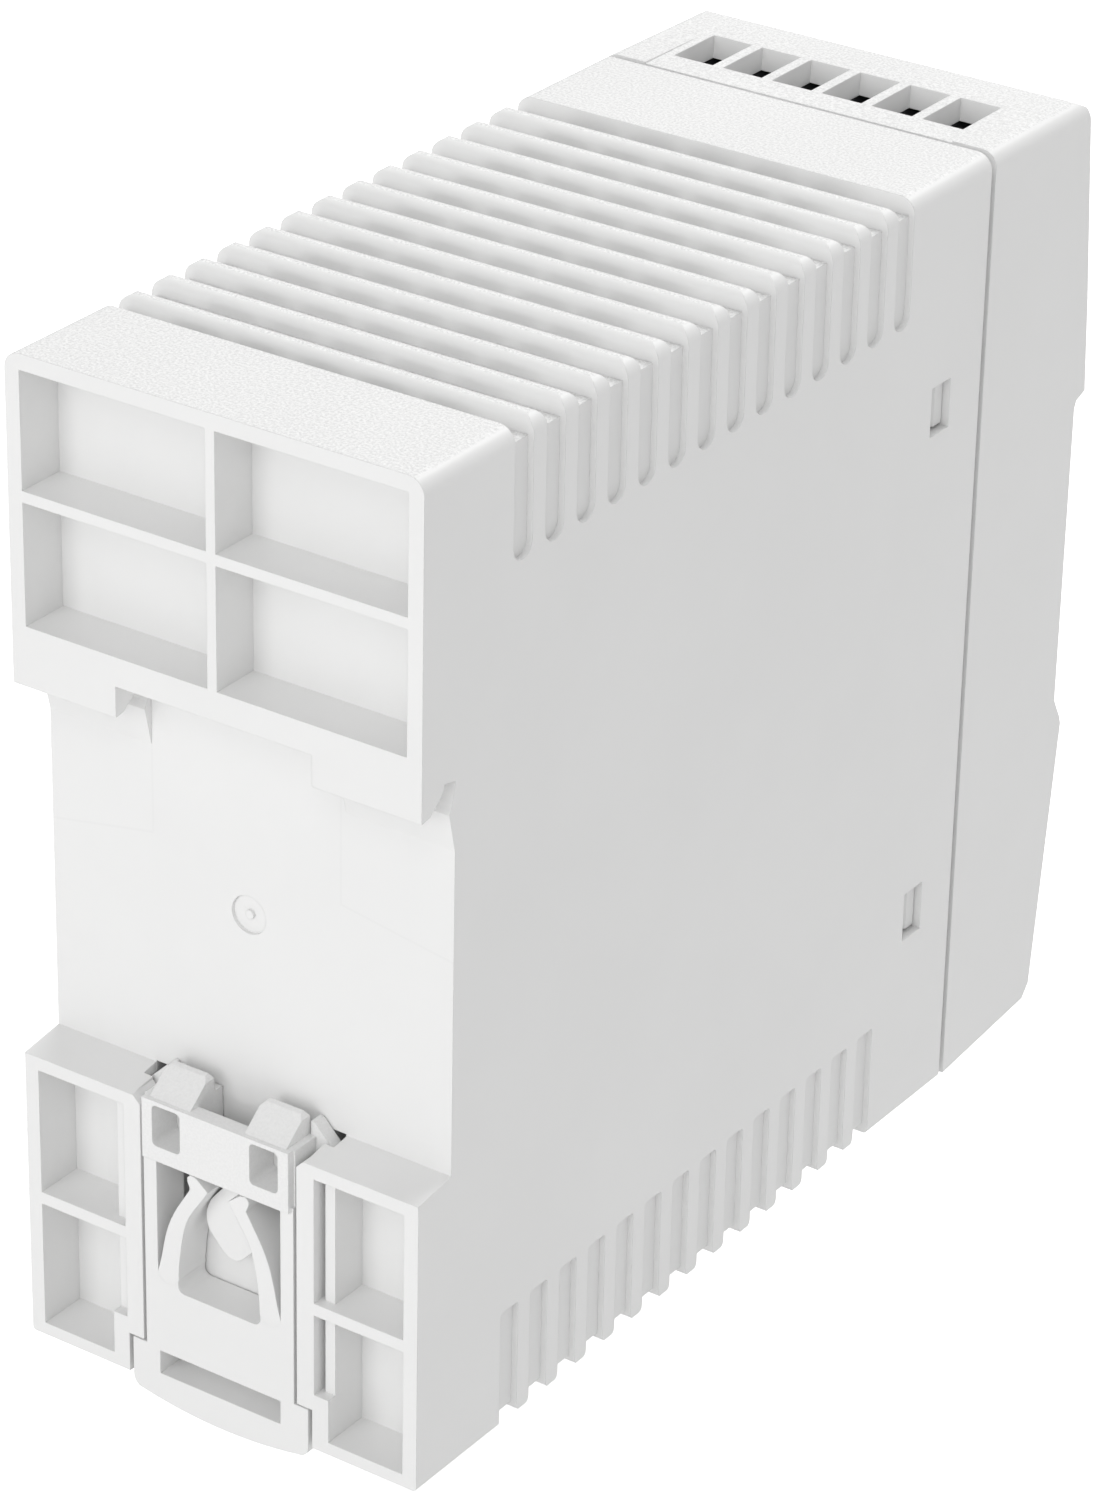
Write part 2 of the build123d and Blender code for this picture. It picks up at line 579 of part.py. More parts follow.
with BuildPart() as trimmer_rotor:
    rod_y(TRIMMER_X, CONTROL_Z, 2.5 - RUN_CLEARANCE, (-81.4, -80.0))
    rod_y(TRIMMER_X, CONTROL_Z, 1.9, (-93.6, -81.3))
    chamfer(edges().filter_by(GeomType.CIRCLE).group_by(Axis.Y)[0], 0.3)
    for width, height in ((2.8, 0.6), (0.6, 2.8)):
        block((TRIMMER_X - width / 2, TRIMMER_X + width / 2), (-94, -92.6),
              (CONTROL_Z - height / 2, CONTROL_Z + height / 2), Mode.SUBTRACT)
    block((TRIMMER_X - 0.25, TRIMMER_X + 0.25), (-94, -93.3), (CONTROL_Z, CONTROL_Z + 1.8), Mode.SUBTRACT)
save(trimmer_rotor, "trimmer_rotor")

with BuildPart() as status_led:
    block((LAMP_X - 1.6, LAMP_X + 1.6), (-77.6, BLOCK_BACK), (CONTROL_Z - 1.4, CONTROL_Z + 1.4))
    rod_y(LAMP_X, CONTROL_Z, 1.1, (-78.2, -77.5))
    fillet(edges().filter_by(GeomType.CIRCLE).group_by(Axis.Y)[0], 0.5)
save(status_led, "status_led")

with BuildPart() as light_pipe:
    rod_y(LAMP_X, CONTROL_Z, 1.4, (-94.5, -78.4))
    fillet(edges().filter_by(GeomType.CIRCLE).group_by(Axis.Y)[0], 0.7)
    rod_y(LAMP_X, CONTROL_Z, 2.1, (-92.1, -91.1))
save(light_pipe, "light_pipe")

# ---------------------------------------------------------------- main board and its fixings
with BuildPart() as main_board:
    block((BOARD_FACE - BOARD_THICK, BOARD_FACE), (-73.3, -3.0), (-42.7, 41.5))
    chamfer(edges().filter_by(Axis.X), 1.0)
save(main_board, "main_board")

with BuildPart() as board_headers:
    for z in (-16.0, 22.0):
        block((BOARD_FACE, BOARD_FACE + 2.5), (-73.2, -70.7), (z, z + 12.7))
        for pin in range(5):
            pin_z = z + 1.27 + pin * 2.54
            block((BOARD_FACE + 1.0, BOARD_FACE + 1.64), (FRONT_BOARD_BACK, -73.1),
                  (pin_z - 0.32, pin_z + 0.32))
save(board_headers, "board_headers")

with BuildPart() as insulation_sheet:
    block((-17.7, -17.3), (-66.5, -5), (-41.0, 39.8))
save(insulation_sheet, "insulation_sheet")


# ---------------------------------------------------------------- mains side of the main board
def standing_can(y, z, radius, length):
    """An electrolytic capacitor on the board: a round can with its rolled groove."""
    rod_x(y, z, radius, (BOARD_FACE, BOARD_FACE + length))
    fillet(edges(Select.LAST).filter_by(GeomType.CIRCLE).group_by(Axis.X)[-1], 0.8)
    with Locations(Location((BOARD_FACE + 3, y, z), (0, 90, 0))):
        Torus(radius + 0.4, 0.8, mode=Mode.SUBTRACT)


def disc_part(y, z, radius, thick):
    """A dipped disc on edge, its flat faces along Y."""
    with Locations(Location((BOARD_FACE + radius, y, z), (90, 0, 0))):
        Cylinder(radius, thick)


with BuildPart() as fuse:
    rod_z(-10.9, -68.5, 2.4, (-41, -23))
    rod_z(-10.9, -68.5, 2.7, (-41, -36.5))
    rod_z(-10.9, -68.5, 2.7, (-27.5, -23))
    for z in (-39, -25.5):
        block((BOARD_FACE, -12.5), (-69.6, -67.4), (z, z + 1))
save(fuse, "fuse")

with BuildPart() as inrush_thermistor:
    disc_part(-61, -36, 6.0, 4.0)
    fillet(edges().filter_by(GeomType.CIRCLE), 1.5)
save(inrush_thermistor, "inrush_thermistor")

with BuildPart() as varistor:
    disc_part(-55, -36, 5.5, 4.2)
    fillet(edges().filter_by(GeomType.CIRCLE), 1.5)
save(varistor, "varistor")

with BuildPart() as x_capacitor:
    block((BOARD_FACE, BOARD_FACE + 14), (-51, -43), (-41.5, -23.5))
    fillet(edges(), 0.5)
save(x_capacitor, "x_capacitor")

with BuildPart() as y_capacitors:
    disc_part(-39, -38, 3.5, 3.0)
    disc_part(-34.5, -38, 3.5, 3.0)
    fillet(edges().filter_by(GeomType.CIRCLE), 1.0)
save(y_capacitors, "y_capacitors")


def toroid(y, z, outer, inner, low, high):
    """A ring core lying flat over the board, its axis along X."""
    with BuildSketch(Plane.YZ.offset(low)) as profile:
        with Locations((y, z)):
            Circle(outer)
            Circle(inner, mode=Mode.SUBTRACT)
    extrude(profile.sketch, amount=high - low)


def winding_sectors(y, z, outer, inner, low, high, arcs, grow):
    """Wire packed round a ring core, as one wrapped shell for each stated arc of degrees."""
    for start, sweep in arcs:
        with BuildSketch(Plane.XY.offset(z).shift_origin((0, y, z))) as profile:
            with Locations(((low + high) / 2, (outer + inner) / 2)):
                RectangleRounded(high - low + 2 * grow, outer - inner + 2 * grow, grow * 0.9)
                Rectangle(high - low + 0.1, outer - inner + 0.1, mode=Mode.SUBTRACT)
        axis = Axis((0, y, z), (1, 0, 0))
        turned = revolve(profile.sketch, axis=axis, revolution_arc=sweep, mode=Mode.PRIVATE)
        add(turned.rotate(axis, start))


CHOKE_Y = -60.0
CHOKE_Z = -16.0
with BuildPart() as filter_choke_core:
    toroid(CHOKE_Y, CHOKE_Z, 7.5, 4.2, -12.4, -5.4)
    fillet(edges(), 0.5)
save(filter_choke_core, "filter_choke_core")

with BuildPart() as filter_choke_windings:
    winding_sectors(CHOKE_Y, CHOKE_Z, 7.5, 4.2, -12.4, -5.4, ((20, 140), (200, 140)), 1.0)
save(filter_choke_windings, "filter_choke_windings")

with BuildPart() as bridge_rectifier:
    block((BOARD_FACE + 3, BOARD_FACE + 14), (-40.5, -37.1), (-30, -15))
    fillet(edges().filter_by(Axis.X), 0.6)
    for pin in range(4):
        pin_z = -28.1 + pin * 3.75
        block((BOARD_FACE, BOARD_FACE + 3.1), (-39.2, -38.4), (pin_z - 0.45, pin_z + 0.45))
save(bridge_rectifier, "bridge_rectifier")

with BuildPart() as bulk_capacitor:
    standing_can(-26, -27, 9.0, 30)
save(bulk_capacitor, "bulk_capacitor")


def heatsink(y, z_low, z_high):
    """A bent aluminium plate standing on the board, with a folded edge."""
    block((BOARD_FACE, 13.0), (y, y + 2.0), (z_low, z_high))
    block((11.0, 13.0), (y, y + 7.0), (z_low, z_high))


def power_package(y, z):
    """A flat three-legged package with its metal tab, held to a heatsink face."""
    block((-5.2, 4.0), (y - 4.4, y - 1.3), (z - 5, z + 5))
    block((-5.2, 10.4), (y - 1.3, y), (z - 5, z + 5))
    for pin in (-2.54, 0, 2.54):
        block((BOARD_FACE, -5.1), (y - 2.9, y - 2.3), (z + pin - 0.4, z + pin + 0.4))
    rod_y(7.4, z, 1.8, (y - 2, y + 1), Mode.SUBTRACT)


def tab_screw(y, z):
    """The pan-head screw through a package's tab."""
    rod_y(7.4, z, 1.4, (y - 1.4, y))
    rod_y(7.4, z, 2.8, (y - 3.4, y - 1.35))
    fillet(edges(Select.LAST).filter_by(GeomType.CIRCLE).group_by(Axis.Y)[0], 0.7)


SINK_Y = -12.0
SWITCH_Z = -27.0
RECTIFIER_Z = 28.0
with BuildPart() as primary_heatsink:
    heatsink(SINK_Y, -40, -14)
save(primary_heatsink, "primary_heatsink")

with BuildPart() as switching_transistor:
    power_package(SINK_Y, SWITCH_Z)
save(switching_transistor, "switching_transistor")

with BuildPart() as output_heatsink:
    heatsink(SINK_Y, 14, 40)
save(output_heatsink, "output_heatsink")

with BuildPart() as output_rectifier:
    power_package(SINK_Y, RECTIFIER_Z)
save(output_rectifier, "output_rectifier")

with BuildPart() as heatsink_screws:
    tab_screw(SINK_Y, SWITCH_Z)
    tab_screw(SINK_Y, RECTIFIER_Z)
save(heatsink_screws, "heatsink_screws")

# ---------------------------------------------------------------- transformer
CORE_Y = (-44.0, -14.0)
CORE_Z = (-12.0, 12.0)
CORE_X = (-9.0, 3.0)
with BuildPart() as transformer_core:
    block(CORE_X, CORE_Y, CORE_Z)
    for window in ((-40.5, -33.0), (-25.0, -17.5)):
        block((CORE_X[0] - 1, CORE_X[1] + 1), window, (-8.5, 8.5), Mode.SUBTRACT)
    fillet(edges().filter_by(Axis.X).group_by(Axis.Y)[0], 1.0)
save(transformer_core, "transformer_core")

with BuildPart() as transformer_bobbin:
    for z in ((-8.4, -7.0), (7.0, 8.4)):
        block((-13.0, 7.0), (-40.3, -17.7), z)
    block((-10.6, 4.6), (-34.2, -23.8), (-7.1, 7.1))
    block((-9.1, 3.1), (-33.1, -24.9), (-9, 9), Mode.SUBTRACT)
    block((BOARD_FACE, -12.9), (-40.3, -17.7), (-8.4, -6.0))
    block((BOARD_FACE, -12.9), (-40.3, -17.7), (6.0, 8.4))
save(transformer_bobbin, "transformer_bobbin")

with BuildPart() as transformer_winding:
    block((-12.6, 6.6), (-40.0, -18.0), (-6.9, 6.9))
    fillet(edges().filter_by(Axis.Z), 3.0)
    block((-10.7, 4.7), (-34.3, -23.7), (-8, 8), Mode.SUBTRACT)
save(transformer_winding, "transformer_winding")

# ---------------------------------------------------------------- output side and signal parts
with BuildPart() as output_capacitors:
    for z in (20.0, 32.0):
        standing_can(-27, z, 5.2, 25)
save(output_capacitors, "output_capacitors")

with BuildPart() as output_choke_core:
    toroid(-44, 27, 6.5, 3.2, -12.4, -6.4)
    fillet(edges(), 0.5)
save(output_choke_core, "output_choke_core")

with BuildPart() as output_choke_winding:
    winding_sectors(-44, 27, 6.5, 3.2, -12.4, -6.4, ((15, 330),), 1.0)
save(output_choke_winding, "output_choke_winding")

with BuildPart() as signal_relay:
    block((BOARD_FACE, BOARD_FACE + 10), (-69, -54), (14, 34))
    fillet(edges().filter_by(Axis.X), 0.6)
save(signal_relay, "signal_relay")

with BuildPart() as controller_ic:
    block((BOARD_FACE + 0.5, BOARD_FACE + 3.8), (-52, -45.6), (-5, 5))
    for pin in range(4):
        for y in (-52.4, -45.7):
            pin_z = -3.81 + pin * 2.54
            block((BOARD_FACE, BOARD_FACE + 2), (y, y + 0.5), (pin_z - 0.25, pin_z + 0.25))
save(controller_ic, "controller_ic")

with BuildPart() as optocoupler:
    block((BOARD_FACE + 0.5, BOARD_FACE + 3.8), (-62, -55.6), (2, 6.6))
    for pin_z in (3.03, 5.57):
        for y in (-62.4, -55.7):
            block((BOARD_FACE, BOARD_FACE + 2), (y, y + 0.5), (pin_z - 0.25, pin_z + 0.25))
save(optocoupler, "optocoupler")
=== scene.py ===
import json
import math

import bmesh
import bpy
from mathutils import Matrix, Vector


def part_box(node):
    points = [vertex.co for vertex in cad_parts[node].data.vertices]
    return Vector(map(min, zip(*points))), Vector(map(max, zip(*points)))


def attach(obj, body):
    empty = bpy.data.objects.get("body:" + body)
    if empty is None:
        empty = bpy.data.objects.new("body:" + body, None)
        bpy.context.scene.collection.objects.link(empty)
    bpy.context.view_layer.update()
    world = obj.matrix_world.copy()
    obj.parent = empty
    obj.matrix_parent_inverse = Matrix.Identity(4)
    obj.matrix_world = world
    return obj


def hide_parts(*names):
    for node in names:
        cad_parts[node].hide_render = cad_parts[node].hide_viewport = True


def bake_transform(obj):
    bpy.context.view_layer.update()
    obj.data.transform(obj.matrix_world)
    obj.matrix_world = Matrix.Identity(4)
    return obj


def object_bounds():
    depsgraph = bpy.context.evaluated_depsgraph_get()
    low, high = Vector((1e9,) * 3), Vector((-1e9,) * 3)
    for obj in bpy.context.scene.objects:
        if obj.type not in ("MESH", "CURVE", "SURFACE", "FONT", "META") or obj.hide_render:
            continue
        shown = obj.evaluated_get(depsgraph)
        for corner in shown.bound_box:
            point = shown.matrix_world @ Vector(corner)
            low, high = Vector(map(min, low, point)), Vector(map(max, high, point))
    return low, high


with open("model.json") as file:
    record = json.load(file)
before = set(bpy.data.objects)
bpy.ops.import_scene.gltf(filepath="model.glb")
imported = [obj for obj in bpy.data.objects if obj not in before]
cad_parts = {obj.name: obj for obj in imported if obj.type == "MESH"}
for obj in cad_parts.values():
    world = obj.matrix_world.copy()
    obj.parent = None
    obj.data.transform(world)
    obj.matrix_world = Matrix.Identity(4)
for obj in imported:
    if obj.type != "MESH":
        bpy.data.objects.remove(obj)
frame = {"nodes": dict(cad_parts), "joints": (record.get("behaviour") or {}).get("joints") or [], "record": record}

CAD_BOX = [list(corner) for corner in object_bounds()]
MM = 0.001

# ---------------------------------------------------------------- places, from the frame
HOUSING_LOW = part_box("housing")[0]
CAP_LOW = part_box("front_cap")[0]
NODES = frame["nodes"]
JOINTS = {joint["name"]: joint for joint in frame["joints"]}
SLOT_OF = {row["node"]: row["material_slot"] for row in frame["record"]["subparts"]}
BODIES = frame["record"]["behaviour"]["bodies"]
BODY_OF = {node: body for body, nodes in BODIES.items() for node in nodes}


# ---------------------------------------------------------------- material helpers
class Shader:
    """A material under construction, with short ways to add and join its nodes."""

    def __init__(self, name):
        self.material = bpy.data.materials.new(name)
        self.material.use_nodes = True
        self.tree = self.material.node_tree
        self.surface = self.tree.nodes["Principled BSDF"]
        self.place = self.node("ShaderNodeTexCoord").outputs["Object"]
        self.normal = self.node("ShaderNodeNewGeometry").outputs["Normal"]

    def node(self, kind, **settings):
        made = self.tree.nodes.new(kind)
        for key, value in settings.items():
            setattr(made, key, value)
        return made

    def join(self, source, target):
        self.tree.links.new(source, target)

    def feed(self, socket, value):
        if isinstance(value, bpy.types.NodeSocket):
            self.join(value, socket)
        else:
            socket.default_value = value

    def set(self, **inputs):
        """Sets or links inputs of the surface, named with _ for a space."""
        for key, value in inputs.items():
            self.feed(self.surface.inputs[key.replace("_", " ")], value)

    def noise(self, size, detail=2.0, roughness=0.5, stretch=(1, 1, 1)):
        """Noise with grains about size across (metres), stretched along the axes."""
        mapping = self.node("ShaderNodeMapping")
        mapping.inputs["Scale"].default_value = [1 / (size * s) for s in stretch]
        self.join(self.place, mapping.inputs["Vector"])
        texture = self.node("ShaderNodeTexNoise")
        texture.inputs["Scale"].default_value = 1.0
        texture.inputs["Detail"].default_value = detail
        texture.inputs["Roughness"].default_value = roughness
        self.join(mapping.outputs["Vector"], texture.inputs["Vector"])
        return texture.outputs["Fac"]

    def math(self, operation, a, b=0.0, c=0.0, clamp=False):
        """One arithmetic step; a, b and c are sockets or numbers."""
        made = self.node("ShaderNodeMath", operation=operation, use_clamp=clamp)
        for socket, value in zip(made.inputs, (a, b, c)):
            self.feed(socket, value)
        return made.outputs[0]

    def vector(self, operation, a, b=None, scale=None):
        """A vector sum, product or length; a and b are sockets or plain vectors."""
        made = self.node("ShaderNodeVectorMath", operation=operation)
        for socket, value in zip(made.inputs, (a, b)):
            if value is not None:
                self.feed(socket, value)
        if scale is not None:
            self.feed(made.inputs["Scale"], scale)
        return made.outputs["Value" if operation in ("DOT_PRODUCT", "LENGTH") else "Vector"]

    def ramp(self, value, low, high, to_low=0.0, to_high=1.0, smooth=True):
        """Maps value from low..high to to_low..to_high."""
        kind = "SMOOTHSTEP" if smooth else "LINEAR"
        made = self.node("ShaderNodeMapRange", interpolation_type=kind)
        for socket, number in zip(made.inputs, (value, low, high, to_low, to_high)):
            self.feed(socket, number)
        return made.outputs["Result"]

    def split(self, vector):
        """The X, Y and Z outputs of a vector, reached by name."""
        made = self.node("ShaderNodeSeparateXYZ")
        self.join(vector, made.inputs[0])
        return made.outputs

    def mix_color(self, share, a, b):
        """Color a where share is 0, color b where it is 1."""
        made = self.node("ShaderNodeMix", data_type="RGBA")
        for socket, value in zip((made.inputs[0], made.inputs[6], made.inputs[7]), (share, a, b)):
            self.feed(socket, value)
        return made.outputs[2]

    def bevel(self, radius):
        """The normal with edges softened by radius; for looks only, the mesh isn't touched."""
        made = self.node("ShaderNodeBevel", samples=4)
        self.feed(made.inputs["Radius"], radius)
        return made.outputs["Normal"]

    def bump(self, height, depth, strength=1.0, normal=None):
        """The normal of a surface raised by depth where height is 1."""
        made = self.node("ShaderNodeBump")
        made.inputs["Distance"].default_value = depth
        self.feed(made.inputs["Strength"], strength)
        self.join(height, made.inputs["Height"])
        if normal is not None:
            self.join(normal, made.inputs["Normal"])
        return made.outputs["Normal"]


def tint(color, factor):
    """A color made lighter or darker, with full alpha."""
    return (*(min(1.0, channel * factor) for channel in color[:3]), 1.0)


def moulded(name, color, roughness=0.42, grain=0.12 * MM, depth=0.004 * MM, edge=0.15 * MM, **more):
    """Injection-moulded plastic: fine satin grain, slight unevenness, softened edges."""
    made = Shader(name)
    blotch = made.noise(9 * MM, detail=3)
    fine = made.noise(grain, detail=2)
    made.set(
        Base_Color=made.mix_color(blotch, tint(color, 0.97), tint(color, 1.03)),
        Roughness=made.ramp(blotch, 0.3, 0.7, roughness - 0.04, roughness + 0.04),
        Normal=made.bump(fine, depth, 0.5, made.bevel(edge)),
        **more,
    )
    return made.material


# ---------------------------------------------------------------- the case plastic
CASE_COLOR = (0.83, 0.83, 0.826)
SPARK_GRAIN = 0.24 * MM          # grain of the spark-eroded texture
SPARK_DEPTH = 0.055 * MM
SPARK_SHADES = (-0.14, 0.12)     # how much darker and lighter its grains are
EDGE_SOFTNESS = 0.1 * MM
TEXTURE_BAND = 2.2 * MM          # texture reaches this far in from the top and the underside
FACING = (0.86, 0.97)            # normal component from which a face counts as looking up or down
FRONT_FACING = (-0.5, -0.8)
FRONT_TEXTURE = 0.6
LATCH_TEXTURE = 0.2
# painted shade: the rail seat is darkened along thin lines where the small steps of a mould insert would throw
# shade
WITNESS_SHADE_CORE, WITNESS_SHADE_EDGE = 0.05 * MM, 0.16 * MM
WITNESS_SHADE_DARK = 0.022
ROOT_REACH = 1.2 * MM            # round the arms' roots, where arm and plate are one moulding


def case_plastic(name, textured, painted_shade=None, seamless=None):
    """Light grey-white case plastic. textured(shader) gives the share of spark-eroded texture,
    the third function the brightness of painted shade along the mould's witness lines, seamless(shader) the share
    of edge softness, 0 where two pieces are one moulding."""
    made = Shader(name)
    blotch = made.noise(14 * MM, detail=3)
    share = textured(made)
    grain = made.noise(SPARK_GRAIN, detail=3, roughness=0.7)
    satin = made.noise(0.09 * MM, detail=1)
    speckle = made.ramp(grain, 0.32, 0.68, *SPARK_SHADES)
    speckled = made.math("MULTIPLY_ADD", speckle, share, 1.0)
    shade = made.math("MULTIPLY", speckled, made.ramp(blotch, 0.3, 0.7, 0.992, 1.008))
    # painted shade along the mould insert's witness lines, multiplied into the colour
    if painted_shade:
        shade = made.math("MULTIPLY", shade, painted_shade(made))
    color = made.node("ShaderNodeVectorMath", operation="SCALE")
    color.inputs[0].default_value = CASE_COLOR
    made.join(shade, color.inputs["Scale"])
    edge = made.math("MULTIPLY", seamless(made), EDGE_SOFTNESS) if seamless else EDGE_SOFTNESS
    smooth = made.bump(satin, 0.002 * MM, 0.3, made.bevel(edge))
    made.set(
        Base_Color=color.outputs[0],
        Roughness=made.math("MULTIPLY_ADD", share, 0.2, 0.40),
        IOR=1.5,
        Normal=made.bump(grain, SPARK_DEPTH, share, smooth),
    )
    return made.material


def outer_faces(made):
    """Texture on the faces that look up, down or to the front, at the outside of the case."""
    place = made.split(made.place)
    normal = made.split(made.normal)
    high, low = CAD_BOX[1][2], HOUSING_LOW.z
    near = TEXTURE_BAND * 0.8
    top = made.math("MULTIPLY", made.ramp(normal["Z"], *FACING),
                    made.ramp(place["Z"], high - TEXTURE_BAND, high - near))
    base = made.math("MULTIPLY", made.ramp(normal["Z"], *(-share for share in FACING)),
                     made.ramp(place["Z"], low + TEXTURE_BAND, low + near))
    front = made.math("MULTIPLY", made.ramp(normal["Y"], *FRONT_FACING),
                      made.ramp(place["Y"], CAP_LOW.y + 5 * MM, CAP_LOW.y + 4 * MM, 0.0, FRONT_TEXTURE))
    return made.math("MAXIMUM", made.math("MAXIMUM", top, base), front)


def witness_shade_line(made, start, end):
    """How dark the painted shade along one witness line across the rail seat makes each point; start and end are
    (x, z) in mm.
    """
    first, last = (Vector((x * MM, 0, z * MM)) for x, z in (start, end))
    along = last - first
    from_first = made.vector("SUBTRACT", made.place, first)
    reach = made.vector("DOT_PRODUCT", from_first, along)
    run = made.math("DIVIDE", reach, along.length_squared, clamp=True)
    foot = made.vector("SCALE", tuple(along), scale=run)
    distance = made.vector("LENGTH", made.vector("SUBTRACT", from_first, foot))
    return made.ramp(distance, WITNESS_SHADE_CORE, WITNESS_SHADE_EDGE, WITNESS_SHADE_DARK, 0.0)


def seat_witness_shade(made):
    """The outline of a mould insert on the rail seat, drawn as painted shade where its small steps would throw
    shade.
    """
    side = CAD_BOX[1][0] / MM
    left = ((side, 1.6), (9.6, 3.6), (9.6, 15.4))
    right = ((-6.3, 15.4), (-6.3, 12.9), (-9.1, 12.9), (-9.1, 3.2), (-side, 1.6))
    dark = 0.0
    for path in (left, right):
        for start, end in zip(path, path[1:]):
            dark = made.math("MAXIMUM", witness_shade_line(made, start, end), dark)
    return made.math("SUBTRACT", 1.0, dark)


def latch_head(made):
    """Texture on the latch's teeth and crossbar."""
    place = made.split(made.place)
    return made.math("MULTIPLY", made.ramp(place["Z"], -24.0 * MM, -23.2 * MM), LATCH_TEXTURE)


def away_from_roots(made):
    """0 round the roots of the sprung arms, which are one moulding with the plate, and 1 elsewhere."""
    clear_of = 1.0
    for side in ("left", "right"):
        root = Vector(JOINTS[f"arm_{side}_bow"]["pos_m"])
        offset = made.vector("SUBTRACT", made.place, root)
        flat = made.vector("LENGTH", made.vector("MULTIPLY", offset, (1.0, 0.0, 1.0)))
        clear_of = made.math("MINIMUM", clear_of, made.ramp(flat, ROOT_REACH, ROOT_REACH + 0.2 * MM))
    return clear_of


def no_texture(made):
    """A share of texture that is 0 everywhere."""
    return made.math("MULTIPLY", made.split(made.place)["Z"], 0.0)


# ---------------------------------------------------------------- the other materials
TRACK_CELL = 5.5 * MM            # typical width of a copper area on a board
TAPE_STEP = 2.9 * MM             # how far each turn of tape is offset from the last
GLASS_EDGE = (0.52, 0.50, 0.30, 1)
BARE_CAN = (0.78, 0.78, 0.79, 1)
CAN_STRIPE = (0.62, 0.64, 0.68, 1)
PLATED_CAP = (0.72, 0.71, 0.69, 1)
BLUE_CLOUD = (0.70, 0.76, 0.86, 1)
STRAW_CLOUD = (0.80, 0.77, 0.66, 1)


def metal(name, color, roughness, brush, depth=0.0015 * MM, spread=0.08, edge=0.06 * MM):
    """Bare or plated metal: fine working marks drawn out along one axis, cloudy tarnish."""
    made = Shader(name)
    cloud = made.noise(2.6 * MM, detail=4, roughness=0.6)
    marks = made.noise(0.05 * MM, detail=2, stretch=brush)
    worn = made.math("ADD", cloud, marks)
    made.set(
        Base_Color=made.mix_color(made.ramp(cloud, 0.3, 0.7), tint(color, 0.86), tint(color, 1.06)),
        Metallic=1.0,
        Roughness=made.ramp(worn, 0.6, 1.4, roughness - spread, roughness + spread),
        Normal=made.bump(marks, depth, 0.6, made.bevel(edge)),
    )
    return made.material


def zinc_plated(name, color):
    """Zinc plating with its faint blue and straw clouding."""
    made = Shader(name)
    cloud = made.noise(1.1 * MM, detail=3)
    blue = made.mix_color(made.ramp(cloud, 0.35, 0.65), tint(color, 0.9), BLUE_CLOUD)
    straw = made.mix_color(made.ramp(made.noise(1.7 * MM), 0.5, 0.75), blue, STRAW_CLOUD)
    marks = made.noise(0.06 * MM, detail=3)
    made.set(
        Base_Color=straw,
        Metallic=1.0,
        Roughness=made.ramp(cloud, 0.3, 0.7, 0.24, 0.38),
        Normal=made.bump(marks, 0.0015 * MM, 0.5, made.bevel(0.05 * MM)),
    )
    return made.material


def solder_mask(name, color):
    """A board: tracks and copper areas under green mask, bare glass laminate at the cut edges."""
    made = Shader(name)
    cells = made.node("ShaderNodeTexVoronoi", distance="MANHATTAN", feature="DISTANCE_TO_EDGE")
    mapping = made.node("ShaderNodeMapping")
    mapping.inputs["Scale"].default_value = [1 / TRACK_CELL] * 3
    made.join(made.place, mapping.inputs["Vector"])
    made.join(mapping.outputs["Vector"], cells.inputs["Vector"])
    cells.inputs["Scale"].default_value = 1.0
    copper = made.ramp(cells.outputs["Distance"], 0.05, 0.075)
    weave = made.noise(0.5 * MM, detail=2)
    normal = made.split(made.normal)
    face = made.math("MAXIMUM", made.math("ABSOLUTE", normal["X"]), made.math("ABSOLUTE", normal["Y"]))
    masked = made.mix_color(copper, tint(color, 0.7), tint(color, 1.5))
    made.set(
        Base_Color=made.mix_color(made.ramp(face, 0.8, 0.95), GLASS_EDGE, masked),
        Roughness=made.ramp(weave, 0.3, 0.7, 0.28, 0.38),
        Coat_Weight=0.4,
        Normal=made.bump(made.math("MULTIPLY_ADD", weave, 0.1, copper), 0.035 * MM, 0.8),
    )
    return made.material


def dipped(name, color):
    """A thick dipped coating: glossy, gently uneven, with a lip of runs."""
    made = Shader(name)
    swell = made.noise(2.4 * MM, detail=1)
    speck = made.noise(0.2 * MM, detail=2)
    made.set(
        Base_Color=made.mix_color(made.ramp(speck, 0.55, 0.75), tint(color, 1.0), tint(color, 0.7)),
        Roughness=made.ramp(speck, 0.3, 0.7, 0.14, 0.24),
        Coat_Weight=0.5,
        Normal=made.bump(swell, 0.25 * MM, 0.5, made.bevel(0.3 * MM)),
    )
    return made.material


def ferrite(name, color):
    """Sintered ferrite: matt, pored, with straight grinding marks."""
    made = Shader(name)
    pores = made.noise(0.16 * MM, detail=4, roughness=0.8)
    ground = made.noise(0.05 * MM, detail=2, stretch=(1, 30, 1))
    made.set(
        Base_Color=made.mix_color(made.ramp(pores, 0.35, 0.65), tint(color, 0.75), tint(color, 1.35)),
        Roughness=made.ramp(ground, 0.3, 0.7, 0.5, 0.66),
        Normal=made.bump(made.math("ADD", pores, ground), 0.02 * MM, 0.5, made.bevel(0.15 * MM)),
    )
    return made.material


def pressed_sheet(name, color):
    """Fibrous insulating board with long pale fibres."""
    made = Shader(name)
    fibres = made.noise(0.3 * MM, detail=4, roughness=0.7, stretch=(1, 6, 1.5))
    made.set(
        Base_Color=made.mix_color(made.ramp(fibres, 0.3, 0.7), tint(color, 0.85), tint(color, 1.08)),
        Roughness=0.72,
        Normal=made.bump(fibres, 0.02 * MM, 0.6),
    )
    return made.material


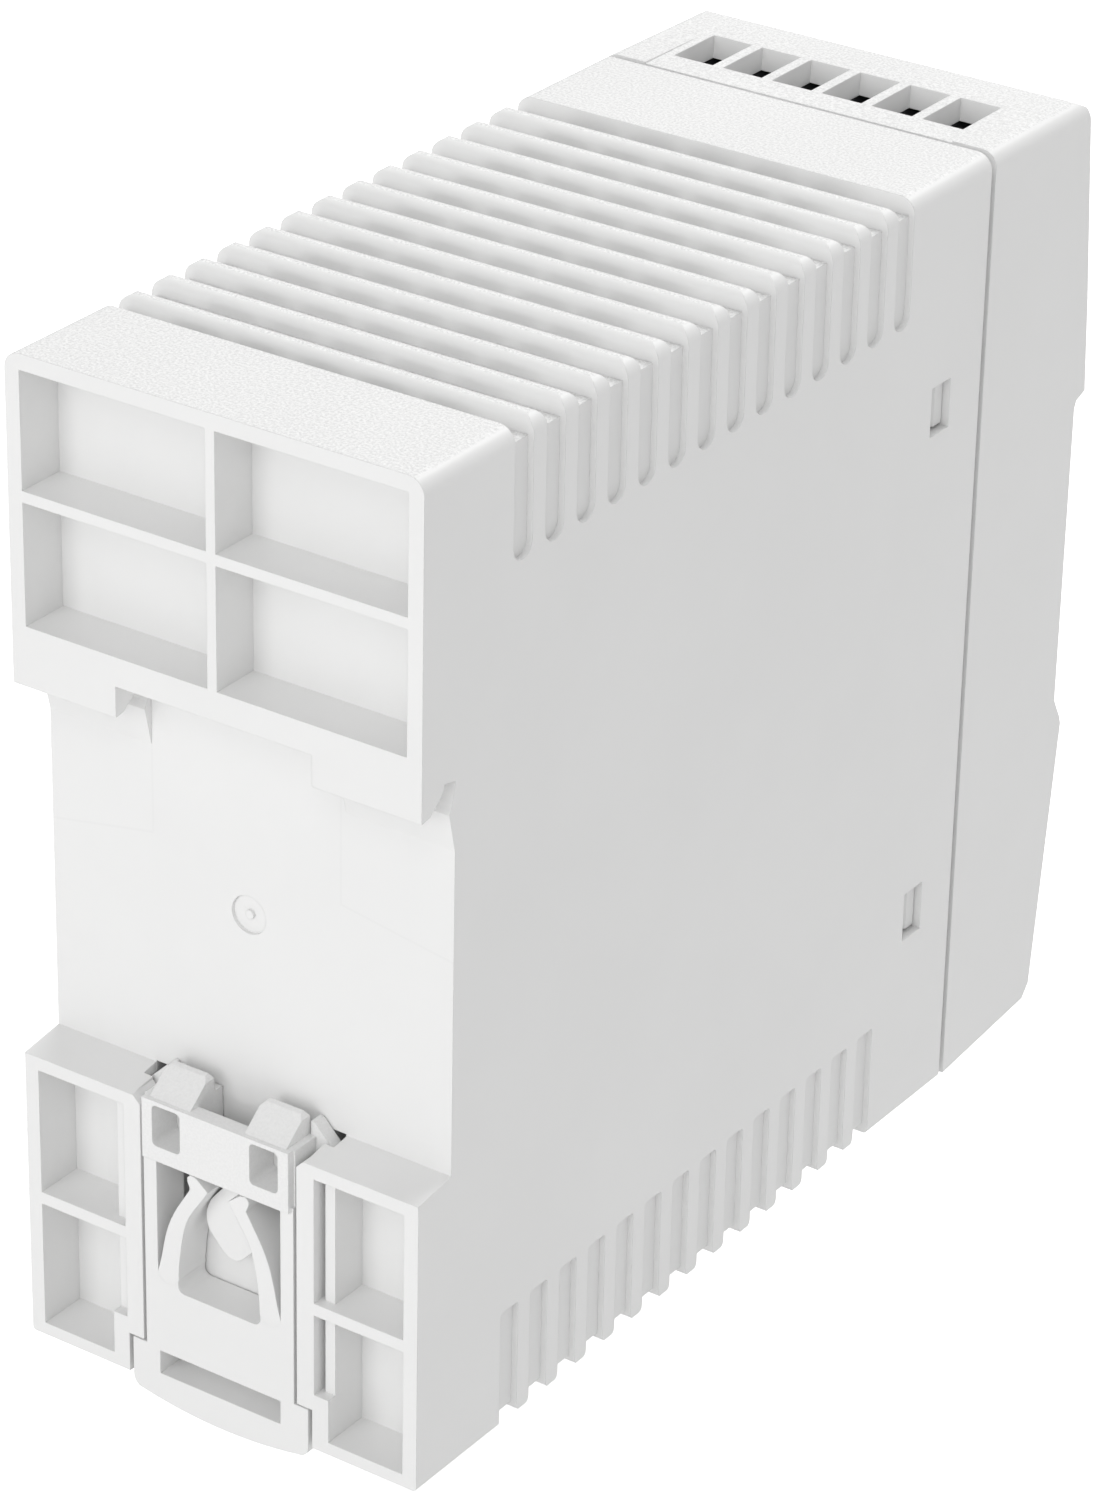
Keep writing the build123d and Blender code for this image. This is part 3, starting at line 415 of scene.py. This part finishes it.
def wound_tape(name, color):
    """Polyester tape wound in overlapping turns over the coil."""
    made = Shader(name)
    place = made.split(made.place)
    turns = made.math("FRACT", made.math("DIVIDE", place["X"], TAPE_STEP))
    overlap = made.ramp(turns, 0.0, 0.06)
    crease = made.noise(1.4 * MM, detail=3, stretch=(1, 3, 3))
    relief = made.math("MULTIPLY_ADD", crease, 0.5, overlap)
    made.set(
        Base_Color=made.mix_color(overlap, tint(color, 0.72), tint(color, 1.0)),
        Roughness=made.ramp(crease, 0.3, 0.7, 0.18, 0.32),
        Coat_Weight=0.6,
        Normal=made.bump(relief, 0.06 * MM, 0.7, made.bevel(0.2 * MM)),
    )
    return made.material


def enamelled_wire(name, color):
    """Round copper wire under a clear amber enamel."""
    made = Shader(name)
    draw = made.noise(0.3 * MM, detail=2)
    made.set(
        Base_Color=made.mix_color(made.ramp(draw, 0.3, 0.7), tint(color, 0.85), tint(color, 1.15)),
        Metallic=0.85,
        Roughness=made.ramp(draw, 0.3, 0.7, 0.22, 0.32),
        Coat_Weight=0.8,
        Normal=made.bump(draw, 0.01 * MM, 0.4),
    )
    return made.material


def can_sleeve(name, color, nodes):
    """Heat-shrunk sleeve over a capacitor can, open at the scored aluminium top."""
    made = Shader(name)
    top = max(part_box(node)[1].x for node in nodes)
    place = made.split(made.place)
    normal = made.split(made.normal)
    lid = made.ramp(normal["X"], 0.85, 0.95)
    stripe = made.math("MULTIPLY", made.ramp(normal["Z"], 0.86, 0.88), 0.85)
    wrinkle = made.noise(1.2 * MM, detail=2, stretch=(4, 1, 1))
    sleeve = made.mix_color(stripe, tint(color, 1.0), CAN_STRIPE)
    rim = made.ramp(place["X"], top - 0.6 * MM, top)
    made.set(
        Base_Color=made.mix_color(lid, sleeve, BARE_CAN),
        Metallic=lid,
        Roughness=made.ramp(wrinkle, 0.3, 0.7, 0.2, 0.3),
        Normal=made.bump(made.math("ADD", wrinkle, rim), 0.05 * MM, 0.4, made.bevel(0.3 * MM)),
    )
    return made.material


def capped_tube(name, color):
    """The fuse: a pale ceramic tube between two plated end caps."""
    made = Shader(name)
    low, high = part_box("fuse")
    span = high - low
    longest = max(range(3), key=lambda index: span[index])
    axis = "XYZ"[longest]
    middle = (low[longest] + high[longest]) / 2
    reach = span[longest] / 2
    place = made.split(made.place)
    away = made.math("ABSOLUTE", made.math("SUBTRACT", place[axis], middle))
    cap = made.ramp(away, reach * 0.66, reach * 0.68)
    grain = made.noise(0.3 * MM, detail=3)
    relief = made.math("MULTIPLY_ADD", grain, 0.06, cap)
    made.set(
        Base_Color=made.mix_color(cap, tint(color, 0.98), PLATED_CAP),
        Metallic=cap,
        Roughness=made.ramp(grain, 0.3, 0.7, 0.22, 0.34),
        Normal=made.bump(relief, 0.08 * MM, 0.8, made.bevel(0.1 * MM)),
    )
    return made.material


def clear(name, color, cloud=0.12, passing=0.6):
    """Clear or tinted moulding with slight flow lines; passing is the share of light let through."""
    made = Shader(name)
    flow = made.noise(1.3 * MM, detail=2, stretch=(1, 6, 1))
    made.set(
        Base_Color=made.mix_color(flow, tint(color, 0.96), tint(color, 1.04)),
        Transmission_Weight=passing,
        IOR=1.49,
        Roughness=made.ramp(flow, 0.3, 0.7, 0.04, cloud),
        Normal=made.bump(flow, 0.01 * MM, 0.4, made.bevel(0.1 * MM)),
    )
    return made.material


def printed(name, color, thin=1.6):
    """Pad-printed ink, a little grainy; thin is how much paler it is where it is thinnest."""
    made = Shader(name)
    wear = made.noise(0.18 * MM, detail=3)
    made.set(
        Base_Color=made.mix_color(made.ramp(wear, 0.4, 0.8), tint(color, 1.0), tint(color, thin)),
        Roughness=made.ramp(wear, 0.3, 0.7, 0.5, 0.62),
    )
    return made.material


# ---------------------------------------------------------------- stage
def look_from(position, right, up, forward, lens, shift):
    """A camera at position (mm), turned so that its axes are right, up and forward."""
    data = bpy.data.cameras.new("camera")
    data.sensor_fit = "VERTICAL"
    data.sensor_height = 36.0
    data.lens = lens
    data.shift_x, data.shift_y = shift
    data.clip_start = 0.01
    data.clip_end = 10.0
    camera = bpy.data.objects.new("camera", data)
    turn = Matrix((right, up, [-v for v in forward])).transposed()
    camera.matrix_world = Matrix.Translation(Vector(position) * MM) @ turn.to_4x4()
    bpy.context.scene.collection.objects.link(camera)
    bpy.context.scene.camera = camera


look_from(
    position=(-234.53, 302.52, 214.05),
    right=(-0.81416, -0.58052, 0.01194),
    up=(0.27862, -0.37254, 0.88521),
    forward=(0.50943, -0.72403, -0.46505),
    lens=132.47,
    shift=(0.0492, 0.0081),
)


def area_light(name, position, target, size, watts):
    """A square lamp at position, aimed at target."""
    data = bpy.data.lights.new(name, "AREA")
    data.shape = "SQUARE"
    data.size = size
    data.energy = watts
    lamp = bpy.data.objects.new(name, data)
    lamp.location = position
    aim = target - position
    lamp.rotation_euler = aim.to_track_quat("-Z", "Y").to_euler()
    bpy.context.scene.collection.objects.link(lamp)


CENTRE = (Vector(CAD_BOX[0]) + Vector(CAD_BOX[1])) / 2
LAMP_REACH = 1.1
WORLD_LIGHT = 0.47
for name, direction, size, watts in (
    ("overhead", (0.1, -0.45, 0.95), 0.6, 4.3),
    ("front", (-0.1, -0.7, 0.7), 0.5, 2.7),
    ("rear", (0.15, 1.0, 0.25), 0.6, 3.1),
    ("rear_high", (-0.3, 0.7, 0.6), 0.6, 2.15),
):
    area_light(name, CENTRE + Vector(direction).normalized() * LAMP_REACH, CENTRE, size, watts)

world = bpy.data.worlds.new("studio")
world.use_nodes = True
world.node_tree.nodes["Background"].inputs["Color"].default_value = (1, 1, 1, 1)
world.node_tree.nodes["Background"].inputs["Strength"].default_value = WORLD_LIGHT
bpy.context.scene.world = world
bpy.context.scene.view_settings.view_transform = "Standard"

FLOOR_DROP = 30 * MM             # the part hangs clear of the paper and casts no shadow line on it
PAPER_GLOW = 0.62                # seen straight on, the paper is a clean white
bpy.ops.mesh.primitive_plane_add(size=6, location=(0, 0, CAD_BOX[0][2] - FLOOR_DROP))
floor = bpy.context.object
floor.name = "floor"
paper = Shader("paper")
seen = paper.node("ShaderNodeLightPath").outputs["Is Camera Ray"]
fibre = paper.noise(1.2 * MM, detail=3)
paper.set(
    Base_Color=paper.mix_color(fibre, (0.89, 0.89, 0.89, 1), (0.91, 0.91, 0.91, 1)),
    Roughness=0.9,
    Emission_Color=(1, 1, 1, 1),
    Emission_Strength=paper.ramp(seen, 0, 1, 0.0, PAPER_GLOW, smooth=False),
    Alpha=paper.math("SUBTRACT", 1.0, paper.node("ShaderNodeNewGeometry").outputs["Backfacing"]),
)
floor.data.materials.append(paper.material)


# ---------------------------------------------------------------- materials on the CAD nodes
def assign(obj, material):
    """Gives an object one material."""
    obj.data.materials.clear()
    obj.data.materials.append(material)


COLORS = {row["slot"]: row["base_color"] for row in frame["record"]["materials"]}


def nodes_of(slot):
    """The CAD nodes that share a material slot."""
    return [node for node in NODES if SLOT_OF[node] == slot]


MATERIALS = {
    "terminal_plastic": moulded("terminal_plastic", COLORS["terminal_plastic"], 0.36),
    "tinned_copper": metal("tinned_copper", COLORS["tinned_copper"], 0.3, (1, 20, 1)),
    "zinc_plated_steel": zinc_plated("zinc_plated_steel", COLORS["zinc_plated_steel"]),
    "board_laminate": solder_mask("board_laminate", COLORS["board_laminate"]),
    "trimmer_case": moulded("trimmer_case", COLORS["trimmer_case"], 0.3),
    "trimmer_knob": moulded("trimmer_knob", COLORS["trimmer_knob"], 0.45),
    "lamp_green": clear("lamp_green", COLORS["lamp_green"], 0.3),
    "clear_plastic": clear("clear_plastic", COLORS["clear_plastic"]),
    "black_plastic": moulded("black_plastic", COLORS["black_plastic"], 0.5, 0.08 * MM, 0.01 * MM),
    "insulation_film": pressed_sheet("insulation_film", COLORS["insulation_film"]),
    "fuse_sleeve": capped_tube("fuse_sleeve", COLORS["fuse_sleeve"]),
    "dark_coating": dipped("dark_coating", COLORS["dark_coating"]),
    "blue_coating": dipped("blue_coating", COLORS["blue_coating"]),
    "yellow_case": moulded("yellow_case", COLORS["yellow_case"], 0.26),
    "ferrite": ferrite("ferrite", COLORS["ferrite"]),
    "enamelled_copper": enamelled_wire("enamelled_copper", COLORS["enamelled_copper"]),
    "winding_tape": wound_tape("winding_tape", COLORS["winding_tape"]),
    "bobbin_plastic": moulded("bobbin_plastic", COLORS["bobbin_plastic"], 0.4),
    "capacitor_sleeve": can_sleeve("capacitor_sleeve", COLORS["capacitor_sleeve"],
                                   nodes_of("capacitor_sleeve")),
    "sheet_aluminium": metal("sheet_aluminium", COLORS["sheet_aluminium"], 0.36, (1, 1, 40)),
    "relay_case": moulded("relay_case", COLORS["relay_case"], 0.24),
}
CASE = case_plastic("case_plastic", outer_faces, seat_witness_shade)
LATCH = case_plastic("latch_plastic", latch_head, None, away_from_roots)
ARM = case_plastic("arm_plastic", no_texture, None, away_from_roots)
for node, obj in NODES.items():
    assign(obj, MATERIALS.get(SLOT_OF[node], CASE))
assign(NODES["din_latch"], LATCH)
for node in ("latch_arm_left", "latch_arm_right"):
    assign(NODES[node], ARM)


# ---------------------------------------------------------------- piece helpers
def new_object(name, mesh, material, smooth_below=35):
    """Links a mesh as an object with one material, smooth except over sharp edges."""
    obj = bpy.data.objects.new(name, mesh)
    bpy.context.scene.collection.objects.link(obj)
    mesh.materials.clear()
    mesh.materials.append(material)
    mesh.polygons.foreach_set("use_smooth", [True] * len(mesh.polygons))
    mesh.set_sharp_from_angle(angle=math.radians(smooth_below))
    return obj


def mesh_from(name, build):
    """A mesh filled by build(bm), cleaned of doubles and with its faces turned outwards."""
    bm = bmesh.new()
    build(bm)
    bmesh.ops.remove_doubles(bm, verts=bm.verts, dist=1e-7)
    bmesh.ops.recalc_face_normals(bm, faces=bm.faces)
    mesh = bpy.data.meshes.new(name)
    bm.to_mesh(mesh)
    bm.free()
    return mesh


def ring_skin(bm, rings):
    """Joins rings of points into a closed skin, with a face over each end."""
    made = [[bm.verts.new(point) for point in ring] for ring in rings]
    count = len(made[0])
    for near, far in zip(made, made[1:]):
        for index in range(count):
            after = (index + 1) % count
            bm.faces.new((near[index], near[after], far[after], far[index]))
    bm.faces.new(reversed(made[0]))
    bm.faces.new(made[-1])


def slab(bm, centre, size, edge):
    """A small box with softened edges."""
    made = bmesh.ops.create_cube(bm, size=1.0)["verts"]
    for vert in made:
        vert.co = Vector(centre) + Vector(v * s for v, s in zip(vert.co, size))
    edges = list({e for vert in made for e in vert.link_edges})
    bmesh.ops.bevel(bm, geom=edges, offset=edge, segments=2, affect="EDGES", profile=0.5)


def apply_modifiers(obj):
    """Turns the object's modifiers into mesh."""
    graph = bpy.context.evaluated_depsgraph_get()
    done = bpy.data.meshes.new_from_object(obj.evaluated_get(graph))
    obj.modifiers.clear()
    obj.data = done


# ---------------------------------------------------------------- sprung arms
ROOT_FILL = 0.06                 # how far the root swells to close on the plate, as a share
ROOT_FILL_START = 0.3 * MM
ARM_SLICE = 0.4 * MM             # height of the slices cut across the arm
ARM_TIP = 0.5 * MM


def flexing_arm(side):
    """The arm as one springy strip, cut into slices up from its root, which swells a little to close on the plate.
    """
    node = f"latch_arm_{side}"
    joint = JOINTS[f"arm_{side}_bow"]
    root = Vector(joint["pos_m"])
    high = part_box(node)[1]
    bm = bmesh.new()
    bm.from_mesh(NODES[node].data)
    bmesh.ops.remove_doubles(bm, verts=bm.verts, dist=1e-6)
    bmesh.ops.dissolve_limit(bm, angle_limit=math.radians(1), verts=bm.verts, edges=bm.edges)
    height = root.z
    while height < high.z - ARM_TIP:
        everything = bm.verts[:] + bm.edges[:] + bm.faces[:]
        bmesh.ops.bisect_plane(bm, geom=everything, plane_co=(0, 0, height), plane_no=(0, 0, 1))
        height += ARM_SLICE
    for vert in bm.verts:
        share = min(1.0, max(0.0, (root.z - vert.co.z) / ROOT_FILL_START))
        vert.co.x += (vert.co.x - root.x) * ROOT_FILL * share
        vert.co.z += (vert.co.z - root.z) * ROOT_FILL * share
    mesh = bpy.data.meshes.new(f"spring_arm_{side}")
    bm.to_mesh(mesh)
    bm.free()
    obj = new_object(f"spring_arm_{side}", mesh, ARM, 30)
    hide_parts(node)
    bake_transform(obj)


for side in ("left", "right"):
    flexing_arm(side)


# ---------------------------------------------------------------- clamp screws
THREAD_PITCH = 0.5 * MM
THREAD_DEPTH = 0.14 * MM
SHANK_RADIUS = 1.2 * MM
HEAD_RADIUS = 1.85 * MM
HEAD_THICK = 1.4 * MM
HEAD_LIP = 0.2 * MM
NOSE = 0.4 * MM                  # rounding of the screw's end
LONG_SLOT = (4.4 * MM, 1.5 * MM, 0.6 * MM)
CROSS_SLOT = (0.55 * MM, 1.7 * MM, 2.3 * MM)
SLOT_EDGE = 0.03 * MM
ROUND = 32


def around(radius, y, count=ROUND):
    """A ring of points about +Y, counted right-handed."""
    angles = [2 * math.pi * index / count for index in range(count)]
    return [Vector((radius * math.sin(t), y, radius * math.cos(t))) for t in angles]


def thread_ring(y, tip, neck):
    """One ring of the thread: a ridge that runs round as it advances, fading at neck and tip."""
    ring = []
    left = tip - y
    fade = min(1.0, max(0.0, (y - neck) / THREAD_PITCH), max(0.0, left / THREAD_PITCH))
    for index, point in enumerate(around(1.0, y)):
        phase = (y / THREAD_PITCH - index / ROUND) % 1.0
        ridge = 1 - abs(2 * phase - 1)
        radius = SHANK_RADIUS - THREAD_DEPTH * (1 - ridge) * fade
        if left < NOSE:
            radius -= NOSE - math.sqrt(max(0.0, NOSE ** 2 - (NOSE - left) ** 2))
        ring.append(Vector((point.x * radius, y, point.z * radius)))
    return ring


def screw_mesh(low_y, high_y):
    """A cheese-head clamp screw with a cut thread, its head towards the front."""
    head_end = low_y + HEAD_THICK
    steps = int((high_y - head_end) / (THREAD_PITCH / 8))
    lip = HEAD_LIP
    rings = [around(HEAD_RADIUS - lip, low_y), around(HEAD_RADIUS - lip * 0.3, low_y + lip * 0.3),
             around(HEAD_RADIUS, low_y + lip), around(HEAD_RADIUS, head_end - lip * 0.4),
             around(HEAD_RADIUS - lip * 0.4, head_end), around(SHANK_RADIUS, head_end)]
    for step in range(1, steps + 1):
        y = head_end + (high_y - head_end) * step / steps
        rings.append(thread_ring(y, high_y, head_end))
    return mesh_from("clamp_screw", lambda bm: ring_skin(bm, rings))


def slot_cutters(low_y):
    """The two slots of the driver recess, a long one crossed by a shorter one."""
    def long_slot(bm):
        slab(bm, (0, low_y, 0), LONG_SLOT, SLOT_EDGE)

    def cross_slot(bm):
        slab(bm, (0, 0, 0), CROSS_SLOT, SLOT_EDGE)
        bmesh.ops.translate(bm, verts=bm.verts, vec=(0, low_y, 0))
    return [mesh_from("slot", long_slot), mesh_from("cross", cross_slot)]


def slotted_screw(low_y, high_y, zinc):
    """A screw on the Y axis with its driver recess cut; the others are copies of it."""
    pattern = new_object("screw_pattern", screw_mesh(low_y, high_y), zinc)
    cutters = [new_object(mesh.name, mesh, zinc) for mesh in slot_cutters(low_y)]
    for cutter in cutters:
        cut = pattern.modifiers.new("cut", "BOOLEAN")
        cut.operation = "DIFFERENCE"
        cut.solver = "EXACT"
        cut.object = cutter
    apply_modifiers(pattern)
    for cutter in cutters:
        bpy.data.objects.remove(cutter)
    return pattern


def make_screws():
    """One threaded screw for every clamp, turning with its own body."""
    zinc = MATERIALS["zinc_plated_steel"]
    screws = [node for node in sorted(nodes_of("zinc_plated_steel")) if "_screw_" in node]
    low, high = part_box(screws[0])
    pattern = slotted_screw(low.y, high.y, zinc)
    for node in screws:
        low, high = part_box(node)
        centre = (low + high) / 2
        obj = new_object("threaded_" + node, pattern.data.copy(), zinc)
        obj.location = (centre.x, 0, centre.z)
        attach(obj, BODY_OF[node])
        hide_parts(node)
    bpy.data.objects.remove(pattern)


make_screws()


# ---------------------------------------------------------------- wound rings
WIRE_RADIUS = 0.42 * MM
LOOP_SQUARENESS = 0.38           # 1 is a round loop, 0 a rectangle
LOOP_STEPS = 28


def squared(value):
    """Pushes a sine or cosine towards 1 or -1, which turns a circle into a rounded rectangle."""
    return math.copysign(abs(value) ** LOOP_SQUARENESS, value)


def loop_point(share, low, high, inner, outer):
    """A point along a rounded loop round the core's section: (along the axis, from the axis)."""
    angle = 2 * math.pi * share
    u, v = squared(math.cos(angle)), squared(math.sin(angle))
    return ((low + high) / 2 + u * (high - low) / 2, (inner + outer) / 2 + v * (outer - inner) / 2)


def coil(name, core, start, sweep, turns):
    """Wire wound round a ring core whose axis is along X, from one angle to another."""
    low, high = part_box(core)
    y, z = (low.y + high.y) / 2, (low.z + high.z) / 2
    outer = (high.y - low.y) / 2 + WIRE_RADIUS
    inner = hole_radius(core, y, z) - WIRE_RADIUS
    back, front = low.x - WIRE_RADIUS, high.x + WIRE_RADIUS
    points = []
    for step in range(turns * LOOP_STEPS + 1):
        along, reach = loop_point(step / LOOP_STEPS + 0.25, back, front, inner, outer)
        angle = math.radians(start + sweep * step / (turns * LOOP_STEPS))
        points.append(Vector((along, y + reach * math.cos(angle), z + reach * math.sin(angle))))
    return wire(name, points, WIRE_RADIUS * 0.97)


def hole_radius(core, y, z):
    """The radius of a ring core's hole."""
    return min(math.hypot(vert.co.y - y, vert.co.z - z) for vert in NODES[core].data.vertices)


def wire(name, points, radius):
    """A round wire through points, as a mesh with closed ends."""
    data = bpy.data.curves.new(name, "CURVE")
    data.dimensions = "3D"
    data.bevel_depth = radius
    data.bevel_resolution = 3
    data.use_fill_caps = True
    line = data.splines.new("POLY")
    line.points.add(len(points) - 1)
    for point, place in zip(line.points, points):
        point.co = (*place, 1)
    curve = bpy.data.objects.new(name, data)
    bpy.context.scene.collection.objects.link(curve)
    mesh = bpy.data.meshes.new_from_object(curve.evaluated_get(bpy.context.evaluated_depsgraph_get()))
    bpy.data.objects.remove(curve)
    return new_object(name, mesh, MATERIALS["enamelled_copper"], 60)


def wind(node, core, arcs):
    """Replaces a plain winding with real turns of wire; each arc is (start, sweep, turns)."""
    for number, (start, sweep, turns) in enumerate(arcs, 1):
        obj = coil(f"{node}_turns_{number}", core, start, sweep, turns)
        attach(obj, "case")
        if number == 1:
            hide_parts(node)


wind("filter_choke_windings", "filter_choke_core", ((24, 128, 9), (204, 128, 9)))
wind("output_choke_winding", "output_choke_core", ((20, 318, 17),))


# ---------------------------------------------------------------- marks on the front
INK = printed("print_grey", (0.09, 0.10, 0.11))
MARK_THICK = 0.06 * MM
STROKE = 0.32 * MM
MARK_EDGE = 0.015 * MM
SIGN_SIZE = 1.5 * MM
SMALL_SIGN = 1.1 * MM
MARK_GAP = 4.6 * MM              # from a clamp screw to its mark


def front_face_y(x, z):
    """The Y of the cap's front at a place, found by looking straight at it."""
    place = NODES["front_cap"].ray_cast(Vector((x, CAP_LOW.y - 0.02, z)), Vector((0, 1, 0)))[1]
    return place.y


def bars(name, strokes):
    """Thin raised strokes on the front; each is (x, z, width, height) in metres."""
    def build(bm):
        for x, z, width, height in strokes:
            near, far = sorted(front_face_y(x, z + side * height / 2) for side in (-1, 1))
            depth = far - near + 2 * MARK_THICK
            slab(bm, (x, (near + far) / 2, z), (width, depth, height), MARK_EDGE)
    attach(new_object(name, mesh_from(name, build), INK), "case")


def plus(x, z, size=SIGN_SIZE):
    """A plus sign, as strokes."""
    return [(x, z, size, STROKE), (x, z, STROKE, size)]


def minus(x, z, size=SIGN_SIZE):
    """A minus sign, as strokes."""
    return [(x, z, size, STROKE)]


def dot(x, z, size):
    """A square dot, as strokes."""
    return [(x, z, size, size)]


def earth(x, z):
    """The protective earth sign: a stem over three shortening bars."""
    marks = [(x, z + 0.75 * MM, STROKE, 1.1 * MM)]
    for index, width in enumerate((1.9, 1.25, 0.6)):
        marks.append((x, z - index * 0.55 * MM, width * MM, 0.26 * MM))
    return marks


def tick_scale(x, z, radius, count):
    """Dots spread round the trimmer's hole, larger at the ends and in the middle."""
    marks = []
    for index in range(count):
        angle = math.radians(225 - 270 * index / (count - 1))
        size = 0.55 * MM if index in (0, count - 1, count // 2) else 0.3 * MM
        marks += dot(x + radius * math.cos(angle), z + radius * math.sin(angle), size)
    return marks


def screw_places(block, count):
    """The centres of a terminal block's screws."""
    boxes = [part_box(f"{block}_screw_{number}") for number in range(1, count + 1)]
    return [(low + high) / 2 for low, high in boxes]


def front_marks():
    """Plain polarity, earth and adjustment marks beside what they belong to."""
    strokes = []
    for number, place in enumerate(screw_places("output", 6)):
        below = place.z - MARK_GAP
        if number < 2:
            strokes += plus(place.x, below)
        elif number < 4:
            strokes += minus(place.x, below)
        else:
            strokes += dot(place.x, below, 0.6 * MM)
    bars("output_marks", strokes)
    ground, *mains = screw_places("input", 3)
    strokes = earth(ground.x, ground.z + MARK_GAP)
    for place in mains:
        for shift in (-0.6 * MM, 0.6 * MM):
            strokes += dot(place.x + shift, place.z + MARK_GAP, 0.5 * MM)
    bars("input_marks", strokes)
    knob = Vector(JOINTS["trimmer_turn"]["pos_m"])
    corner = 3.6 * MM
    strokes = tick_scale(knob.x, knob.z, 3.4 * MM, 11)
    strokes += minus(knob.x - corner, knob.z - corner, SMALL_SIGN)
    strokes += plus(knob.x + corner, knob.z - corner, SMALL_SIGN)
    bars("trimmer_scale", strokes)


front_marks()


# ---------------------------------------------------------------- label
LABEL_WIDTH = 27 * MM
LABEL_LOW, LABEL_HIGH = -17 * MM, 1 * MM
LABEL_THICK = 0.16 * MM          # half of it is sunk in the case
LABEL_EDGE = 0.05 * MM


def blank_label():
    """A plain matt label in the middle of the front, with nothing printed on it."""
    film = printed("label_film", (0.60, 0.61, 0.62), 1.04)
    middle = (LABEL_LOW + LABEL_HIGH) / 2
    size = (LABEL_WIDTH, LABEL_THICK, LABEL_HIGH - LABEL_LOW)

    def build(bm):
        slab(bm, (0, front_face_y(0, middle), middle), size, LABEL_EDGE)
    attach(new_object("blank_label", mesh_from("blank_label", build), film), "case")


blank_label()


# ---------------------------------------------------------------- solder joints
LEADED = ("bulk_capacitor", "x_capacitor", "varistor", "bridge_rectifier", "signal_relay",
          "filter_choke_core", "output_choke_core", "transformer_core", "fuse", "inrush_thermistor")
CONE = ((1.0, -0.02), (0.82, 0.12), (0.55, 0.3), (0.36, 0.5), (0.2, 0.6))     # radius and rise, mm
CONE_SIDES = 14


def solder_cone(face, y, z):
    """The rings of one joint, which rises from the board's back towards -X."""
    angles = [2 * math.pi * index / CONE_SIDES for index in range(CONE_SIDES)]
    return [[Vector((face - rise * MM, y + reach * MM * math.cos(t), z + reach * MM * math.sin(t)))
             for t in angles]
            for reach, rise in CONE]


def solder_joints():
    """Rounded cones of solder on the back of the main board, four under each leaded part."""
    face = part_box("main_board")[0].x

    def build(bm):
        for node in LEADED:
            low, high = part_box(node)
            span = high - low
            for across in (0.28, 0.72):
                for along in (0.3, 0.7):
                    ring_skin(bm, solder_cone(face, low.y + span.y * across, low.z + span.z * along))
    obj = new_object("solder_joints", mesh_from("solder_joints", build), MATERIALS["tinned_copper"], 50)
    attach(obj, "case")


solder_joints()
